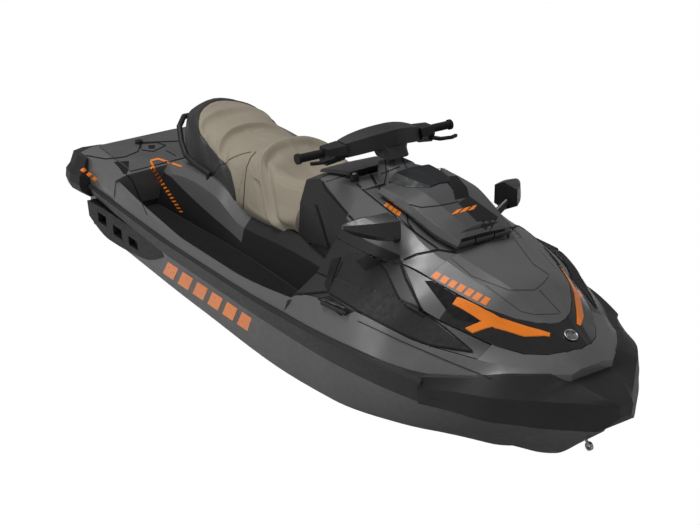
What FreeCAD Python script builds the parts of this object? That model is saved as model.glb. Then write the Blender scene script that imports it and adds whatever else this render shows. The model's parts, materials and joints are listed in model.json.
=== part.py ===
import FreeCAD, Part
import Sketcher
import math
import os

Vector = FreeCAD.Vector

# The craft's own frame: x forward from the transom, y to port, z up.
# Every table is a lines plan: x counts station gaps, y buttock gaps, z level gaps above the keel.
# Each piece is then lowered by the draft, so that the origin lies at the transom on the still waterline.

document = FreeCAD.newDocument("personal_watercraft")
sheet = document.addObject("Spreadsheet::Sheet", "sizes")

SIZES = {
    "station_gap": 100.0,
    "buttock_gap": 100.0,
    "level_gap": 100.0,
    "draft": 260.0,
    "seat_gap": 0.3,
    "lid_gap": 5.0,
    "running_gap": 0.05,
    "overrun": 20.0,
    "panel_wall": 12.0,
    "panel_gap": 3.0,
    "mat_wall": 6.0,
    "handle_radius": 14.0,
    "handle_post": 60.0,
    "nose_overlap": 6.0,
    "notch_depth": 45.0,
    "notch_length": 95.0,
    "pump_height": 150.0,
    "pump_bore": 80.0,
    "pump_wall": 14.0,
    "pump_aft": 240.0,
    "pump_flange_wall": 10.0,
    "pump_flange_rise": 5.0,
    "hub_radius": 30.0,
    "hub_length": 70.0,
    "vane_wall": 5.0,
    "vane_length": 55.0,
    "shaft_radius": 12.0,
    "shaft_clearance": 6.0,
    "impeller_aft": 322.0,
    "impeller_length": 80.0,
    "impeller_radius": 75.0,
    "impeller_hub": 26.0,
    "blade_wall": 6.0,
    "venturi_wall": 7.0,
    "venturi_throat": 42.0,
    "throat_length": 50.0,
    "venturi_aft": 90.0,
    "nozzle_pivot": 100.0,
    "nozzle_bell": 62.0,
    "nozzle_wall": 6.0,
    "nozzle_fore": 12.0,
    "nozzle_straight": 30.0,
    "nozzle_aft": 125.0,
    "nozzle_tip": 46.0,
    "nozzle_pin": 6.0,
    "gate_pivot": 170.0,
    "gate_radius": 213.0,
    "gate_wall": 6.0,
    "gate_half_width": 100.0,
    "gate_boss": 16.0,
    "gate_pin": 7.0,
    "tunnel_length": 540.0,
    "tunnel_half_width": 165.0,
    "tunnel_height": 360.0,
    "plate_level": 36.0,
    "plate_wall": 10.0,
    "plate_tail": 12.0,
    "plate_gap": 2.0,
    "intake_length": 360.0,
    "intake_half_width": 82.0,
    "grate_bar": 9.0,
    "grate_depth": 18.0,
    "grate_level": 26.0,
    "grate_spacing": 38.0,
    "engine_length": 500.0,
    "engine_width": 360.0,
    "engine_height": 380.0,
    "engine_aft": 1050.0,
    "engine_room": 50.0,
    "bay_level": 90.0,
    "bay_side": 20.0,
    "bay_head": 30.0,
    "bin_aft": 2190.0,
    "bin_length": 310.0,
    "bin_half_width": 135.0,
    "bin_level": 480.0,
    "bin_height": 260.0,
    "bin_wall": 4.0,
    "glove_aft": 1690.0,
    "glove_length": 120.0,
    "glove_half_width": 95.0,
    "glove_level": 740.0,
    "hinge_pin": 4.0,
    "hinge_wall": 4.0,
    "hinge_half_width": 45.0,
    "hinge_play": 1.0,
    "storage_hinge_x": 2560.0,
    "storage_hinge_level": 845.0,
    "storage_hinge_foot": 780.0,
    "storage_hinge_reach": 30.0,
    "glove_hinge_x": 1862.0,
    "glove_hinge_level": 927.0,
    "glove_hinge_foot": 870.0,
    "glove_hinge_reach": 20.0,
    "stem_x": 2010.0,
    "stem_level": 940.0,
    "stem_radius": 12.0,
    "stem_below": 5.0,
    "stem_above": 110.0,
    "bar_x": 1868.0,
    "bar_level": 1040.0,
    "bar_radius": 11.0,
    "bar_half_width": 395.0,
    "grip_radius": 17.0,
    "grip_length": 118.0,
    "grip_flange": 22.5,
    "grip_flange_wall": 8.0,
    "eye_bore": 9.0,
    "eye_wall": 8.0,
    "eye_half_width": 6.0,
    "bow_eye_x": 3222.0,
    "bow_eye_level": 215.0,
    "stern_eye_x": -18.0,
    "stern_eye_y": 380.0,
    "stern_eye_level": 250.0,
    "anchor_radius": 20.0,
    "anchor_bore": 6.0,
    "anchor_low": 580.0,
    "anchor_high": 622.0,
    "anchor_x": 120.0,
    "anchor_y": 250.0,
    "mirror_stalk": 16.0,
    "accent_wall": 3.0,
    "badge_radius": 19.0,
    "badge_wall": 5.0,
    "lever_radius": 6.0,
    "throttle_lever_level": 1036.0,
    "reverse_lever_level": 1020.0,
    "cleat_radius": 8.0,
    "glass_wall": 3.0,
    "screen_depth": 25.0,
}

for row, (name, number) in enumerate(SIZES.items(), 1):
    cell = "B%d" % row
    sheet.set("A%d" % row, name)
    sheet.set(cell, str(number))
    sheet.setAlias(cell, name)
document.recompute()


def size(name):
    return float(sheet.get(name))


STATION = size("station_gap")
BUTTOCK = size("buttock_gap")
LEVEL = size("level_gap")
DRAFT = size("draft")
SEAT = size("seat_gap")
OVER = size("overrun")
WALL = size("panel_wall")
FORWARD = Vector(1, 0, 0)
PORT = Vector(0, 1, 0)
UP = Vector(0, 0, 1)

pieces = []


# Formulas of named sizes, such as "pump_bore + pump_wall"

def number_of(formula):
    total = 0.0
    sign = 1.0
    for word in formula.split():
        if word == "+":
            sign = 1.0
        elif word == "-":
            sign = -1.0
        elif word == "zero":
            sign = 1.0
        else:
            total = total + sign * size(word)
    return total


def bound(formula):
    words = []
    for word in formula.split():
        if word in ("+", "-"):
            words.append(word)
        elif word == "zero":
            words.append("0")
        else:
            words.append("<<sizes>>." + word)
    return " ".join(words)


# Parametric pieces

def keep(piece, name):
    piece.Label = name
    pieces.append(piece)
    return piece


def place(piece, x="zero", y="zero", z="zero"):
    piece.setExpression("Placement.Base.x", bound(x))
    piece.setExpression("Placement.Base.y", bound(y))
    piece.setExpression("Placement.Base.z", bound(z + " - draft"))


def body(name, x="zero", z="zero"):
    piece = document.addObject("PartDesign::Body", name)
    place(piece, x, "zero", z)
    return keep(piece, name)


def profile(owner, role, loops, offset=None):
    """A sketch of closed outlines whose corners are formulas of named sizes."""
    sketch = owner.newObject("Sketcher::SketchObject", owner.Name + "_profile")
    for plane in owner.Origin.OriginFeatures:
        if plane.Role == role:
            sketch.AttachmentSupport = [(plane, "")]
    sketch.MapMode = "FlatFace"
    if offset:
        sketch.AttachmentOffset = FreeCAD.Placement(UP * number_of(offset), FreeCAD.Rotation())
        sketch.setExpression("AttachmentOffset.Base.z", bound(offset))
    for loop in loops:
        corners = [(number_of(u), number_of(v)) for u, v in loop]
        first = sketch.GeometryCount
        for index, (u, v) in enumerate(corners):
            next_u, next_v = corners[(index + 1) % len(corners)]
            sketch.addGeometry(Part.LineSegment(Vector(u, v, 0), Vector(next_u, next_v, 0)))
        for index, (u, v) in enumerate(corners):
            line = first + index
            following = first + (index + 1) % len(corners)
            sketch.addConstraint(Sketcher.Constraint("Coincident", line, 2, following, 1))
            for kind, axis_value, formula in (
                ("DistanceX", u, loop[index][0]),
                ("DistanceY", v, loop[index][1]),
            ):
                number = sketch.addConstraint(Sketcher.Constraint(kind, -1, 1, line, 1, axis_value))
                sketch.setExpression("Constraints[%d]" % number, bound(formula))
    return sketch


def revolve(owner, sketch, kind="PartDesign::Revolution"):
    feature = owner.newObject(kind, owner.Name + "_turn")
    feature.Profile = sketch
    feature.ReferenceAxis = (sketch, ["H_Axis"])
    feature.Angle = 360
    document.recompute()
    return feature


def pad(owner, sketch, length, symmetric=False):
    feature = owner.newObject("PartDesign::Pad", owner.Name + "_pad")
    feature.Profile = sketch
    feature.setExpression("Length", bound(length))
    feature.Midplane = symmetric
    document.recompute()
    return feature


# Freeform pieces

def point(x, y, z):
    return Vector(x * STATION, y * BUTTOCK, z * LEVEL)


def outline(points):
    return Part.makePolygon(points + [points[0]])


def mirrored(half):
    """A whole section from its port half, which starts and ends on the centreline or stays off it."""
    other = [Vector(p.x, -p.y, p.z) for p in reversed(half)]
    whole = list(half)
    for p in other:
        if all(p.distanceToPoint(q) > SEAT / 10 for q in (whole[0], whole[-1])):
            whole.append(p)
    return whole


def inner_slope(before, after, gap_before, gap_after):
    """Slope of a fair line at a middle station, which never overshoots its neighbours."""
    if before * after <= 0:
        return 0.0
    weight_before = 2 * gap_after + gap_before
    weight_after = gap_after + 2 * gap_before
    return (weight_before + weight_after) / (weight_before / before + weight_after / after)


def end_slope(near, far, gap_near, gap_far):
    slope = ((2 * gap_near + gap_far) * near - gap_near * far) / (gap_near + gap_far)
    if slope * near <= 0:
        return 0.0
    if near * far <= 0 and abs(slope) > 3 * abs(near):
        return 3 * near
    return slope


def fair_slopes(values, places):
    gaps = [after - before for before, after in zip(places, places[1:])]
    rises = [(after - before) / gap for before, after, gap in zip(values, values[1:], gaps)]
    if len(rises) == 1:
        return [rises[0], rises[0]]
    slopes = [end_slope(rises[0], rises[1], gaps[0], gaps[1])]
    for index in range(1, len(rises)):
        slopes.append(inner_slope(rises[index - 1], rises[index], gaps[index - 1], gaps[index]))
    slopes.append(end_slope(rises[-1], rises[-2], gaps[-1], gaps[-2]))
    return slopes


def fair_line(points, places):
    """A fair curve through one corner of every section."""
    slopes = [fair_slopes([p[axis] for p in points], places) for axis in range(3)]
    tangents = [Vector(*turn) for turn in zip(*slopes)]
    poles = [points[0]]
    for index, gap in enumerate(after - before for before, after in zip(places, places[1:])):
        poles.append(points[index] + tangents[index] * (gap / 3))
        poles.append(points[index + 1] - tangents[index + 1] * (gap / 3))
    poles.append(points[-1])
    curve = Part.BSplineCurve()
    counts = [4] + [2] * (len(places) - 2) + [4]
    curve.buildFromPolesMultsKnots(poles, counts, places, False, 3)
    return curve.toShape()


def loft(sections):
    """A solid through sections of equal corner counts: fair lengthwise, creased at the corners."""
    centres = []
    for section in sections:
        total = Vector(0, 0, 0)
        for corner in section:
            total = total + corner
        centres.append(total * (1 / len(section)))
    places = [0.0]
    for before, after in zip(centres, centres[1:]):
        along = abs(after.x - before.x) if abs(after.x - before.x) > SEAT else (after - before).Length
        places.append(places[-1] + along)
    lines = [fair_line(list(corners), places) for corners in zip(*sections)]
    faces = []
    for index, line in enumerate(lines):
        faces.append(Part.makeRuledSurface(line, lines[(index + 1) % len(lines)]))
    for section in (sections[0], sections[-1]):
        faces.append(Part.Face(outline(section)))
    shell = Part.Compound([face for shape in faces for face in shape.Faces])
    shell.sewShape()
    solid = Part.Solid(shell.Shells[0] if shell.Shells else Part.Shell(shell.Faces))
    if solid.Volume < 0:
        solid.reverse()
    return solid


def both_sides(shape):
    other = shape.mirror(Vector(0, 0, 0), PORT)
    return Part.makeCompound([shape, other])


def box(low, high):
    size_vector = high - low
    return Part.makeBox(size_vector.x, size_vector.y, size_vector.z, low)


def rod(start, end, radius):
    return Part.makeCylinder(radius, (end - start).Length, start, end - start)


def prism(plan, low, high):
    """A plan outline of points, raised from one level to another."""
    face = Part.Face(outline([Vector(p.x, p.y, low) for p in plan]))
    return face.extrude(UP * (high - low))


def offset_in(points, depth):
    """The same section line, moved inward by a depth with mitred corners."""
    moved = []
    for index, p in enumerate(points):
        before = points[max(index - 1, 0)]
        after = points[min(index + 1, len(points) - 1)]
        first = (p - before) if index > 0 else (after - p)
        second = (after - p) if index < len(points) - 1 else (p - before)
        normals = []
        for edge in (first, second):
            normal = Vector(0, -edge.z, edge.y)
            normal.normalize()
            normals.append(normal)
        total = normals[0] + normals[1]
        scale = 1.0 + normals[0].dot(normals[1])
        moved.append(p + total * (depth / scale))
    return moved


def add(name, shape):
    piece = document.addObject("Part::Feature", name)
    piece.Shape = shape
    lowered = FreeCAD.Placement(Vector(0, 0, -DRAFT), FreeCAD.Rotation())
    piece.Placement = lowered.multiply(shape.Placement)
    return keep(piece, name)


# Hull below the joint with the deck: keel, strake, chine, side
# Each station: x, keel z, strake (y, z), chine (y, z), side foot (y, z), side top y

JOINT_SHARE = 4.2
HULL_SHARES = (
    (0.0, (0.0, 2.4, 2.75, 4.65, 4.85, 4.95), (0.0, 0.75, 0.78, 1.55, 1.75, 4.2)),
    (6.0, (0.0, 2.5, 2.85, 4.95, 5.15, 5.45), (0.0, 0.75, 0.78, 1.5, 1.7, 4.2)),
    (12.0, (0.0, 2.6, 2.95, 5.12, 5.32, 5.82), (0.0, 0.72, 0.75, 1.4, 1.6, 4.2)),
    (18.0, (0.0, 2.6, 2.95, 5.12, 5.32, 5.82), (0.0, 0.65, 0.68, 1.2, 1.4, 4.2)),
    (22.5, (0.0, 2.45, 2.8, 4.9, 5.1, 5.75), (0.0, 0.68, 0.71, 1.3, 1.5, 4.2)),
    (26.0, (0.0, 2.05, 2.4, 4.15, 4.35, 5.45), (0.05, 0.85, 0.88, 1.6, 1.8, 4.2)),
    (28.7, (0.0, 1.4, 1.7, 3.0, 3.2, 4.85), (0.35, 1.1, 1.13, 1.95, 2.15, 4.2)),
    (30.5, (0.0, 0.8, 1.0, 1.85, 2.05, 3.5), (1.0, 1.7, 1.73, 2.4, 2.6, 4.2)),
    (31.9, (0.0, 0.4, 0.5, 0.95, 1.1, 2.2), (2.2, 2.55, 2.57, 2.95, 3.1, 4.2)),
    (32.9, (0.0, 0.2, 0.25, 0.45, 0.55, 1.1), (3.1, 3.25, 3.27, 3.45, 3.55, 4.2)),
)


def hull_section(station):
    x, across, levels = station
    half = [point(x, y, z) for y, z in zip(across, levels)]
    half.append(point(x, 0.0, JOINT_SHARE))
    return mirrored(half)


hull_form = loft([hull_section(station) for station in HULL_SHARES])

# Well under the footwells, where the deck moulding drops below the joint

WELL_SHARES = ((4.4, 5.1), (8.0, 5.3), (12.0, 5.55), (16.0, 5.6), (20.6, 5.5))
WELL_LEVEL_SHARE = 3.65


def well(side_gap, foot):
    sections = []
    for x, y in WELL_SHARES:
        half = [
            point(x, 0.0, foot),
            point(x, y, foot) + PORT * side_gap,
            point(x, y, JOINT_SHARE) + PORT * side_gap,
            point(x, 0.0, JOINT_SHARE),
        ]
        sections.append(mirrored(half))
    return loft(sections)


# Pump tunnel, intake duct, shaft way and engine bay cut from the hull

tunnel = box(
    Vector(-OVER, -size("tunnel_half_width"), -OVER),
    Vector(size("tunnel_length"), size("tunnel_half_width"), size("tunnel_height")),
)


def oval(spot, along, across, reach_along, reach_across):
    """A smooth closed ring about a spot, in the plane of two directions."""
    points = []
    for step in range(RING_STEPS):
        turn = 2 * math.pi * step / RING_STEPS
        points.append(spot + along * (reach_along * math.cos(turn)) + across * (reach_across * math.sin(turn)))
    curve = Part.BSplineCurve()
    curve.interpolate(points, PeriodicFlag=True)
    return Part.Wire(curve.toShape())


RING_STEPS = 12
DUCT_BEND_SHARE = 0.28
DUCT_MOUTH_SHARE = 0.7


def duct():
    """Intake way, from the round pump inlet down to the long mouth in the hull's bottom."""
    bore = size("pump_bore")
    start = size("tunnel_length")
    reach = size("intake_length")
    bend = Vector(start + reach * DUCT_BEND_SHARE, 0, size("pump_height") - bore / 2)
    mouth = Vector(start + reach * DUCT_MOUTH_SHARE, 0, -OVER)
    return Part.makeLoft([
        oval(Vector(start - OVER, 0, size("pump_height")), UP, PORT, bore, bore),
        oval(bend, (UP + FORWARD).normalize(), PORT, bore, bore),
        oval(mouth, FORWARD, PORT, reach / 2, size("intake_half_width")),
    ], True)


intake = duct()
shaft_way = rod(
    Vector(size("tunnel_length"), 0, size("pump_height")),
    Vector(size("engine_aft"), 0, size("pump_height")),
    size("shaft_radius") + size("shaft_clearance"),
)
bay_low = Vector(
    size("engine_aft") - size("engine_room"),
    -size("engine_width") / 2 - size("bay_side"),
    size("bay_level"),
)
bay_high = Vector(
    size("engine_aft") + size("engine_length") + size("engine_room"),
    size("engine_width") / 2 + size("bay_side"),
    size("bay_level") + size("engine_height") + size("bay_head"),
)
bay = box(bay_low, bay_high)

hull = hull_form.cut(well(SEAT, WELL_LEVEL_SHARE)).cut(tunnel).cut(intake).cut(shaft_way).cut(bay)
add("hull", hull)

# Master table of the visible upper form, port half, from the steering forward.
# Columns: rail top, gunwale crease, shoulder, shroud foot, shroud top, ridge, centre

BODY_SHARES = (
    (20.5, (6.0, 5.45, 4.3, 3.3, 2.05, 1.2, 0.0), (4.85, 5.4, 6.1, 7.4, 9.35, 9.3, 9.3)),
    (22.0, (5.98, 5.45, 4.35, 3.35, 2.1, 1.2, 0.0), (4.9, 5.9, 6.3, 7.45, 9.15, 9.2, 9.3)),
    (23.5, (5.88, 5.35, 4.35, 3.3, 2.1, 1.3, 0.0), (4.95, 6.1, 6.5, 7.45, 8.75, 8.95, 9.1)),
    (24.65, (5.74, 5.2, 4.2, 3.1, 2.1, 1.4, 0.0), (4.98, 6.15, 6.7, 7.65, 8.3, 8.5, 8.6)),
    (25.95, (5.5, 4.85, 3.9, 2.85, 1.95, 1.42, 0.0), (4.95, 5.98, 6.7, 7.5, 7.95, 8.1, 8.2)),
    (27.3, (5.05, 4.27, 3.35, 2.5, 1.75, 1.2, 0.0), (4.87, 5.68, 6.35, 7.2, 7.6, 7.8, 7.85)),
    (28.6, (4.3, 3.6, 2.85, 2.05, 1.4, 0.95, 0.0), (4.85, 5.57, 6.1, 6.9, 7.25, 7.5, 7.5)),
    (29.4, (3.75, 3.18, 2.5, 1.6, 1.05, 0.75, 0.0), (4.95, 5.53, 5.92, 6.6, 6.85, 7.0, 7.0)),
    (30.4, (3.05, 2.55, 1.8, 0.95, 0.7, 0.5, 0.0), (5.2, 5.5, 5.75, 6.3, 6.35, 6.4, 6.4)),
    (31.3, (2.1, 1.75, 1.2, 0.7, 0.5, 0.35, 0.0), (5.38, 5.5, 5.65, 5.9, 5.95, 6.0, 6.0)),
    (32.1, (1.0, 0.9, 0.75, 0.55, 0.4, 0.3, 0.0), (5.4, 5.42, 5.45, 5.5, 5.5, 5.5, 5.5)),
)
BODY_FOOT_SHARE = 4.2


def body_line(station, first, last):
    x, across, levels = station
    return [point(x, y, z) for y, z in zip(across[first:last], levels[first:last])]


def core_section(station):
    """Deck under the panels: the flank stays at the visible form, the rest lies one wall lower."""
    x, across, levels = station
    flank = body_line(station, 0, 2)
    inner = offset_in(body_line(station, 1, 7), WALL + SEAT)
    inner[-1] = Vector(inner[-1].x, 0, inner[-1].z)
    half = [point(x, 0.0, BODY_FOOT_SHARE), point(x, across[0], BODY_FOOT_SHARE)]
    return mirrored(half + flank + inner)


def panel_section(station, first, last, centred, wall, gap):
    """A panel on the core between two columns, with a gap at its open edges."""
    outer = body_line(station, first, last)
    inner = offset_in(body_line(station, 1, 7), wall)[first - 1:last - 1]
    step = (outer[1] - outer[0]).normalize() * gap
    outer[0] = outer[0] + step
    inner[0] = inner[0] + step
    if centred:
        inner[-1] = Vector(inner[-1].x, 0, inner[-1].z)
        return outer, inner
    step = (outer[-2] - outer[-1]).normalize() * gap
    outer[-1] = outer[-1] + step
    inner[-1] = inner[-1] + step
    return outer, inner


def side_panel(first_station, last_station, first, last, gap):
    """One side's panel along the stations, between two columns of the table."""
    sections = []
    for station in BODY_SHARES[first_station:last_station]:
        outer, inner = panel_section(station, first, last, False, WALL, gap)
        sections.append(outer + list(reversed(inner)))
    return loft(sections)


def centre_panel(first_station, last_station, first, gap):
    sections = []
    for station in BODY_SHARES[first_station:last_station]:
        outer, inner = panel_section(station, first, 7, True, WALL, gap)
        whole_outer = outer + [Vector(p.x, -p.y, p.z) for p in reversed(outer[:-1])]
        whole_inner = inner + [Vector(p.x, -p.y, p.z) for p in reversed(inner[:-1])]
        sections.append(whole_outer + list(reversed(whole_inner)))
    return loft(sections)


# A lid's hinge: ears and a pin on the carrier, a knuckle on the lid

def hinge(lid, carrier, axis_x, axis_z, foot, reach):
    pin_radius = size("hinge_pin")
    knuckle_half = size("hinge_half_width")
    wall = size("hinge_wall")
    play = size("hinge_play")
    clear = size("lid_gap")
    far = size("station_gap")
    knuckle_radius = pin_radius + wall
    axis_spot = Vector(axis_x, 0, axis_z)
    lid_half = lid.BoundBox.YMax + clear
    nose = box(
        Vector(axis_x, -lid_half, axis_z - far), Vector(axis_x + far, lid_half, axis_z + far),
    ).cut(rod(axis_spot - PORT * lid_half, axis_spot + PORT * lid_half, reach))
    lid = lid.cut(nose)
    carrier = carrier.cut(
        rod(axis_spot - PORT * lid_half, axis_spot + PORT * lid_half, reach + clear),
    )
    slot_back = knuckle_radius + clear
    for side in (1, -1):
        low_y, high_y = sorted((side * (knuckle_half - play), side * (knuckle_half + wall + play + play)))
        slot = box(
            Vector(axis_x - slot_back, low_y, axis_z - far),
            Vector(axis_x + reach + clear, high_y, axis_z + slot_back),
        )
        lid = lid.cut(slot)
        low_y, high_y = sorted((side * (knuckle_half + play), side * (knuckle_half + play + wall)))
        ear = box(
            Vector(axis_x - knuckle_radius, low_y, foot),
            Vector(axis_x + knuckle_radius, high_y, axis_z),
        )
        tip = rod(Vector(axis_x, low_y, axis_z), Vector(axis_x, high_y, axis_z), knuckle_radius)
        carrier = carrier.fuse(ear).fuse(tip)
    knuckle = rod(
        axis_spot - PORT * knuckle_half, axis_spot + PORT * knuckle_half, knuckle_radius,
    )
    lid = lid.fuse(knuckle)
    pin_end = PORT * (knuckle_half + play + wall)
    lid = lid.cut(rod(axis_spot - pin_end * 2, axis_spot + pin_end * 2,
                      pin_radius + size("running_gap")))
    carrier = carrier.fuse(rod(axis_spot - pin_end, axis_spot + pin_end, pin_radius))
    return lid.removeSplitter(), carrier.removeSplitter()


# Deck: stern platform, footwells with the seat pedestal, and the front under the panels
# Footwell stations: x, then y and z of wall, gunwale, inner crease, floor, pedestal and centre

STERN_SHARES = (
    (0.0, (5.2, 5.3, 5.25, 4.6, 0.0), (4.2, 5.0, 5.78, 5.95, 6.02)),
    (1.5, (5.35, 5.45, 5.35, 4.7, 0.0), (4.2, 5.0, 5.8, 5.95, 6.04)),
    (4.5, (5.6, 5.65, 5.5, 4.9, 0.0), (4.2, 4.9, 5.62, 5.78, 5.95)),
)
FOOTWELL_SHARES = (
    (4.5, (5.1, 5.1, 5.6, 5.65, 5.5, 5.3, 5.0, 3.3, 2.95, 2.55, 0.0),
     (3.65, 4.2, 4.2, 4.6, 5.45, 5.5, 3.92, 3.92, 5.4, 5.95, 6.0)),
    (8.0, (5.3, 5.3, 5.85, 5.9, 5.7, 5.5, 5.15, 3.2, 2.95, 2.62, 0.0),
     (3.65, 4.2, 4.2, 4.65, 5.15, 5.2, 3.92, 3.92, 6.0, 6.55, 5.8)),
    (9.6, (5.4, 5.4, 5.96, 6.0, 5.82, 5.62, 5.22, 3.15, 2.9, 2.6, 0.0),
     (3.65, 4.2, 4.2, 4.7, 5.08, 5.1, 3.92, 3.92, 5.85, 6.4, 5.7)),
    (12.0, (5.55, 5.55, 6.1, 6.12, 5.95, 5.75, 5.3, 3.1, 2.8, 2.35, 0.0),
     (3.65, 4.2, 4.2, 4.75, 5.0, 5.0, 3.92, 3.92, 5.0, 5.5, 5.6)),
    (16.0, (5.6, 5.6, 6.1, 6.12, 5.95, 5.75, 5.3, 3.2, 2.9, 2.4, 0.0),
     (3.65, 4.2, 4.2, 4.75, 5.0, 5.0, 3.92, 3.92, 5.3, 5.9, 6.0)),
    (20.6, (5.5, 5.5, 5.98, 6.0, 5.8, 5.5, 5.0, 3.6, 3.3, 2.8, 0.0),
     (3.65, 4.2, 4.2, 4.85, 5.3, 5.3, 3.92, 3.92, 5.6, 5.95, 6.0)),
)


def footed_section(station, foot):
    x, across, levels = station
    half = [point(x, 0.0, foot)] + [point(x, y, z) for y, z in zip(across, levels)]
    return mirrored(half)


stern = loft([footed_section(station, JOINT_SHARE) for station in STERN_SHARES])
middle = loft([footed_section(station, WELL_LEVEL_SHARE) for station in FOOTWELL_SHARES])
front = loft([core_section(station) for station in BODY_SHARES])
bin_low = Vector(size("bin_aft"), -size("bin_half_width"), size("bin_level"))
bin_high = bin_low + Vector(size("bin_length"), 2 * size("bin_half_width"), size("bin_height"))
bin_room = Vector(SEAT, SEAT, 0)
bin_well = box(bin_low - bin_room, bin_high + bin_room + UP * size("level_gap") * 3)
deck = stern.fuse(middle).fuse(front).cut(bay).cut(bin_well).removeSplitter()
LID_SHARES = (
    (21.4, (1.85, 1.9, 1.7, 0.9, 0.0), (9.24, 9.35, 9.52, 9.66, 9.7)),
    (23.0, (1.85, 1.9, 1.7, 0.95, 0.0), (9.08, 9.2, 9.42, 9.68, 9.78)),
    (24.6, (1.7, 1.75, 1.55, 0.8, 0.0), (8.56, 8.72, 8.98, 9.26, 9.36)),
    (25.9, (1.3, 1.35, 1.25, 0.6, 0.0), (8.2, 8.35, 8.55, 8.7, 8.75)),
)


def plain_section(station):
    x, across, levels = station
    half = [point(x, 0.0, levels[0])] + [point(x, y, z) for y, z in zip(across, levels)]
    return mirrored(half)


storage_lid = loft([plain_section(station) for station in LID_SHARES])
storage_lid, deck = hinge(
    storage_lid, deck, size("storage_hinge_x"), size("storage_hinge_level"),
    size("storage_hinge_foot"), size("storage_hinge_reach"),
)
anchors = None
anchor_bores = None
for side in (1, -1):
    foot = Vector(size("anchor_x"), side * size("anchor_y"), size("anchor_low"))
    head = Vector(foot.x, foot.y, size("anchor_high"))
    anchor = rod(foot, head, size("anchor_radius"))
    bore = rod(foot - UP * OVER, head + UP * OVER, size("anchor_bore"))
    anchors = anchor if anchors is None else anchors.fuse(anchor)
    anchor_bores = bore if anchor_bores is None else anchor_bores.fuse(bore)
anchor_rings = anchors.cut(deck).cut(anchor_bores)
deck = deck.cut(anchor_bores)

# Grey nose of the deck, ahead of the black panel's front edge

NOSE_END_SHARES = ((27.57, 3.4), (28.44, 3.0), (29.54, 2.4), (30.4, 1.8), (31.01, 1.2), (31.38, 0.6))
NOSE_TIP_SHARE = 31.5
HOOD_END_SHARES = ((26.5, 3.9), (27.8, 2.5), (28.75, 1.9), (29.4, 1.4), (29.98, 0.8), (30.18, 0.4))
HOOD_TIP_SHARE = 30.25
ZONE_AFT_SHARE = 20.0
ZONE_SIDE_SHARE = 7.0


def zone_behind(edge, tip, shift):
    """Everything behind a curved front edge given in plan."""
    port_edge = [point(x, y, 0.0) + FORWARD * shift for x, y in edge]
    half = [point(ZONE_AFT_SHARE, ZONE_SIDE_SHARE, 0.0), Vector(port_edge[0].x, ZONE_SIDE_SHARE * BUTTOCK, 0)]
    half = half + port_edge
    whole = half + [point(tip, 0.0, 0.0) + FORWARD * shift]
    whole = whole + [Vector(p.x, -p.y, 0) for p in reversed(half)]
    return prism(whole, BODY_FOOT_SHARE * LEVEL, LID_SHARES[0][2][0] * LEVEL)


nose_cap_sections = []
for station in BODY_SHARES[7:11]:
    outer = body_line(station, 1, 7)
    inner = offset_in(outer, WALL + size("nose_overlap"))
    inner[-1] = Vector(inner[-1].x, 0, inner[-1].z)
    nose_cap_sections.append(outer + [Vector(p.x, -p.y, p.z) for p in reversed(outer[:-1])]
                             + [Vector(p.x, -p.y, p.z) for p in inner[:-1]] + list(reversed(inner)))
nose_cap = loft(nose_cap_sections).cut(zone_behind(NOSE_END_SHARES, NOSE_TIP_SHARE, 0.0))
deck = deck.fuse(nose_cap).removeSplitter()
add("deck", deck)
add("storage_lid", storage_lid)

# Panels on the front deck

gap = size("panel_gap")
add("side_fairings", both_sides(side_panel(0, 8, 1, 3, gap).cut(deck)))
cowl = side_panel(0, 6, 2, 4, gap).cut(deck)
add("side_cowls", both_sides(cowl))


def shell_room(first_station, last_station, first, gap, above, below):
    """The space from above the panels to below them, over the centre."""
    sections = []
    for station in BODY_SHARES[first_station:last_station]:
        line = body_line(station, 1, 7)
        outer = offset_in(line, -above)[first - 1:]
        inner = offset_in(line, below)[first - 1:]
        outer[-1] = Vector(outer[-1].x, 0, outer[-1].z)
        inner[-1] = Vector(inner[-1].x, 0, inner[-1].z)
        step = (line[first] - line[first - 1]).normalize() * gap
        outer[0] = outer[0] - step
        inner[0] = inner[0] - step
        sections.append(outer + [Vector(p.x, -p.y, p.z) for p in reversed(outer[:-1])]
                        + [Vector(p.x, -p.y, p.z) for p in inner[:-1]] + list(reversed(inner)))
    return loft(sections)


def largest(shape):
    return sorted(shape.Solids, key=lambda solid: solid.Volume)[-1]


hood_zone = zone_behind(HOOD_END_SHARES, HOOD_TIP_SHARE, 0.0)
hood_room = shell_room(4, 10, 3, gap, WALL, WALL + WALL)
hood_room = hood_room.common(zone_behind(HOOD_END_SHARES, HOOD_TIP_SHARE, gap))
hood = largest(centre_panel(4, 11, 3, gap).common(hood_zone).cut(deck))
nose_panel = centre_panel(5, 11, 2, gap).common(zone_behind(NOSE_END_SHARES, NOSE_TIP_SHARE, -gap))
nose_panel = nose_panel.cut(hood_room).cut(both_sides(side_panel(0, 6, 2, 4, 0.0))).cut(deck).cut(hood)
nose_panel = largest(nose_panel)
add("nose_panel", nose_panel)
add("hood", hood)
shroud = side_panel(0, 5, 3, 5, gap).cut(deck)
add("shroud_panels", both_sides(shroud))

# Orange accents on the black panel and the blank badge on the nose

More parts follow.
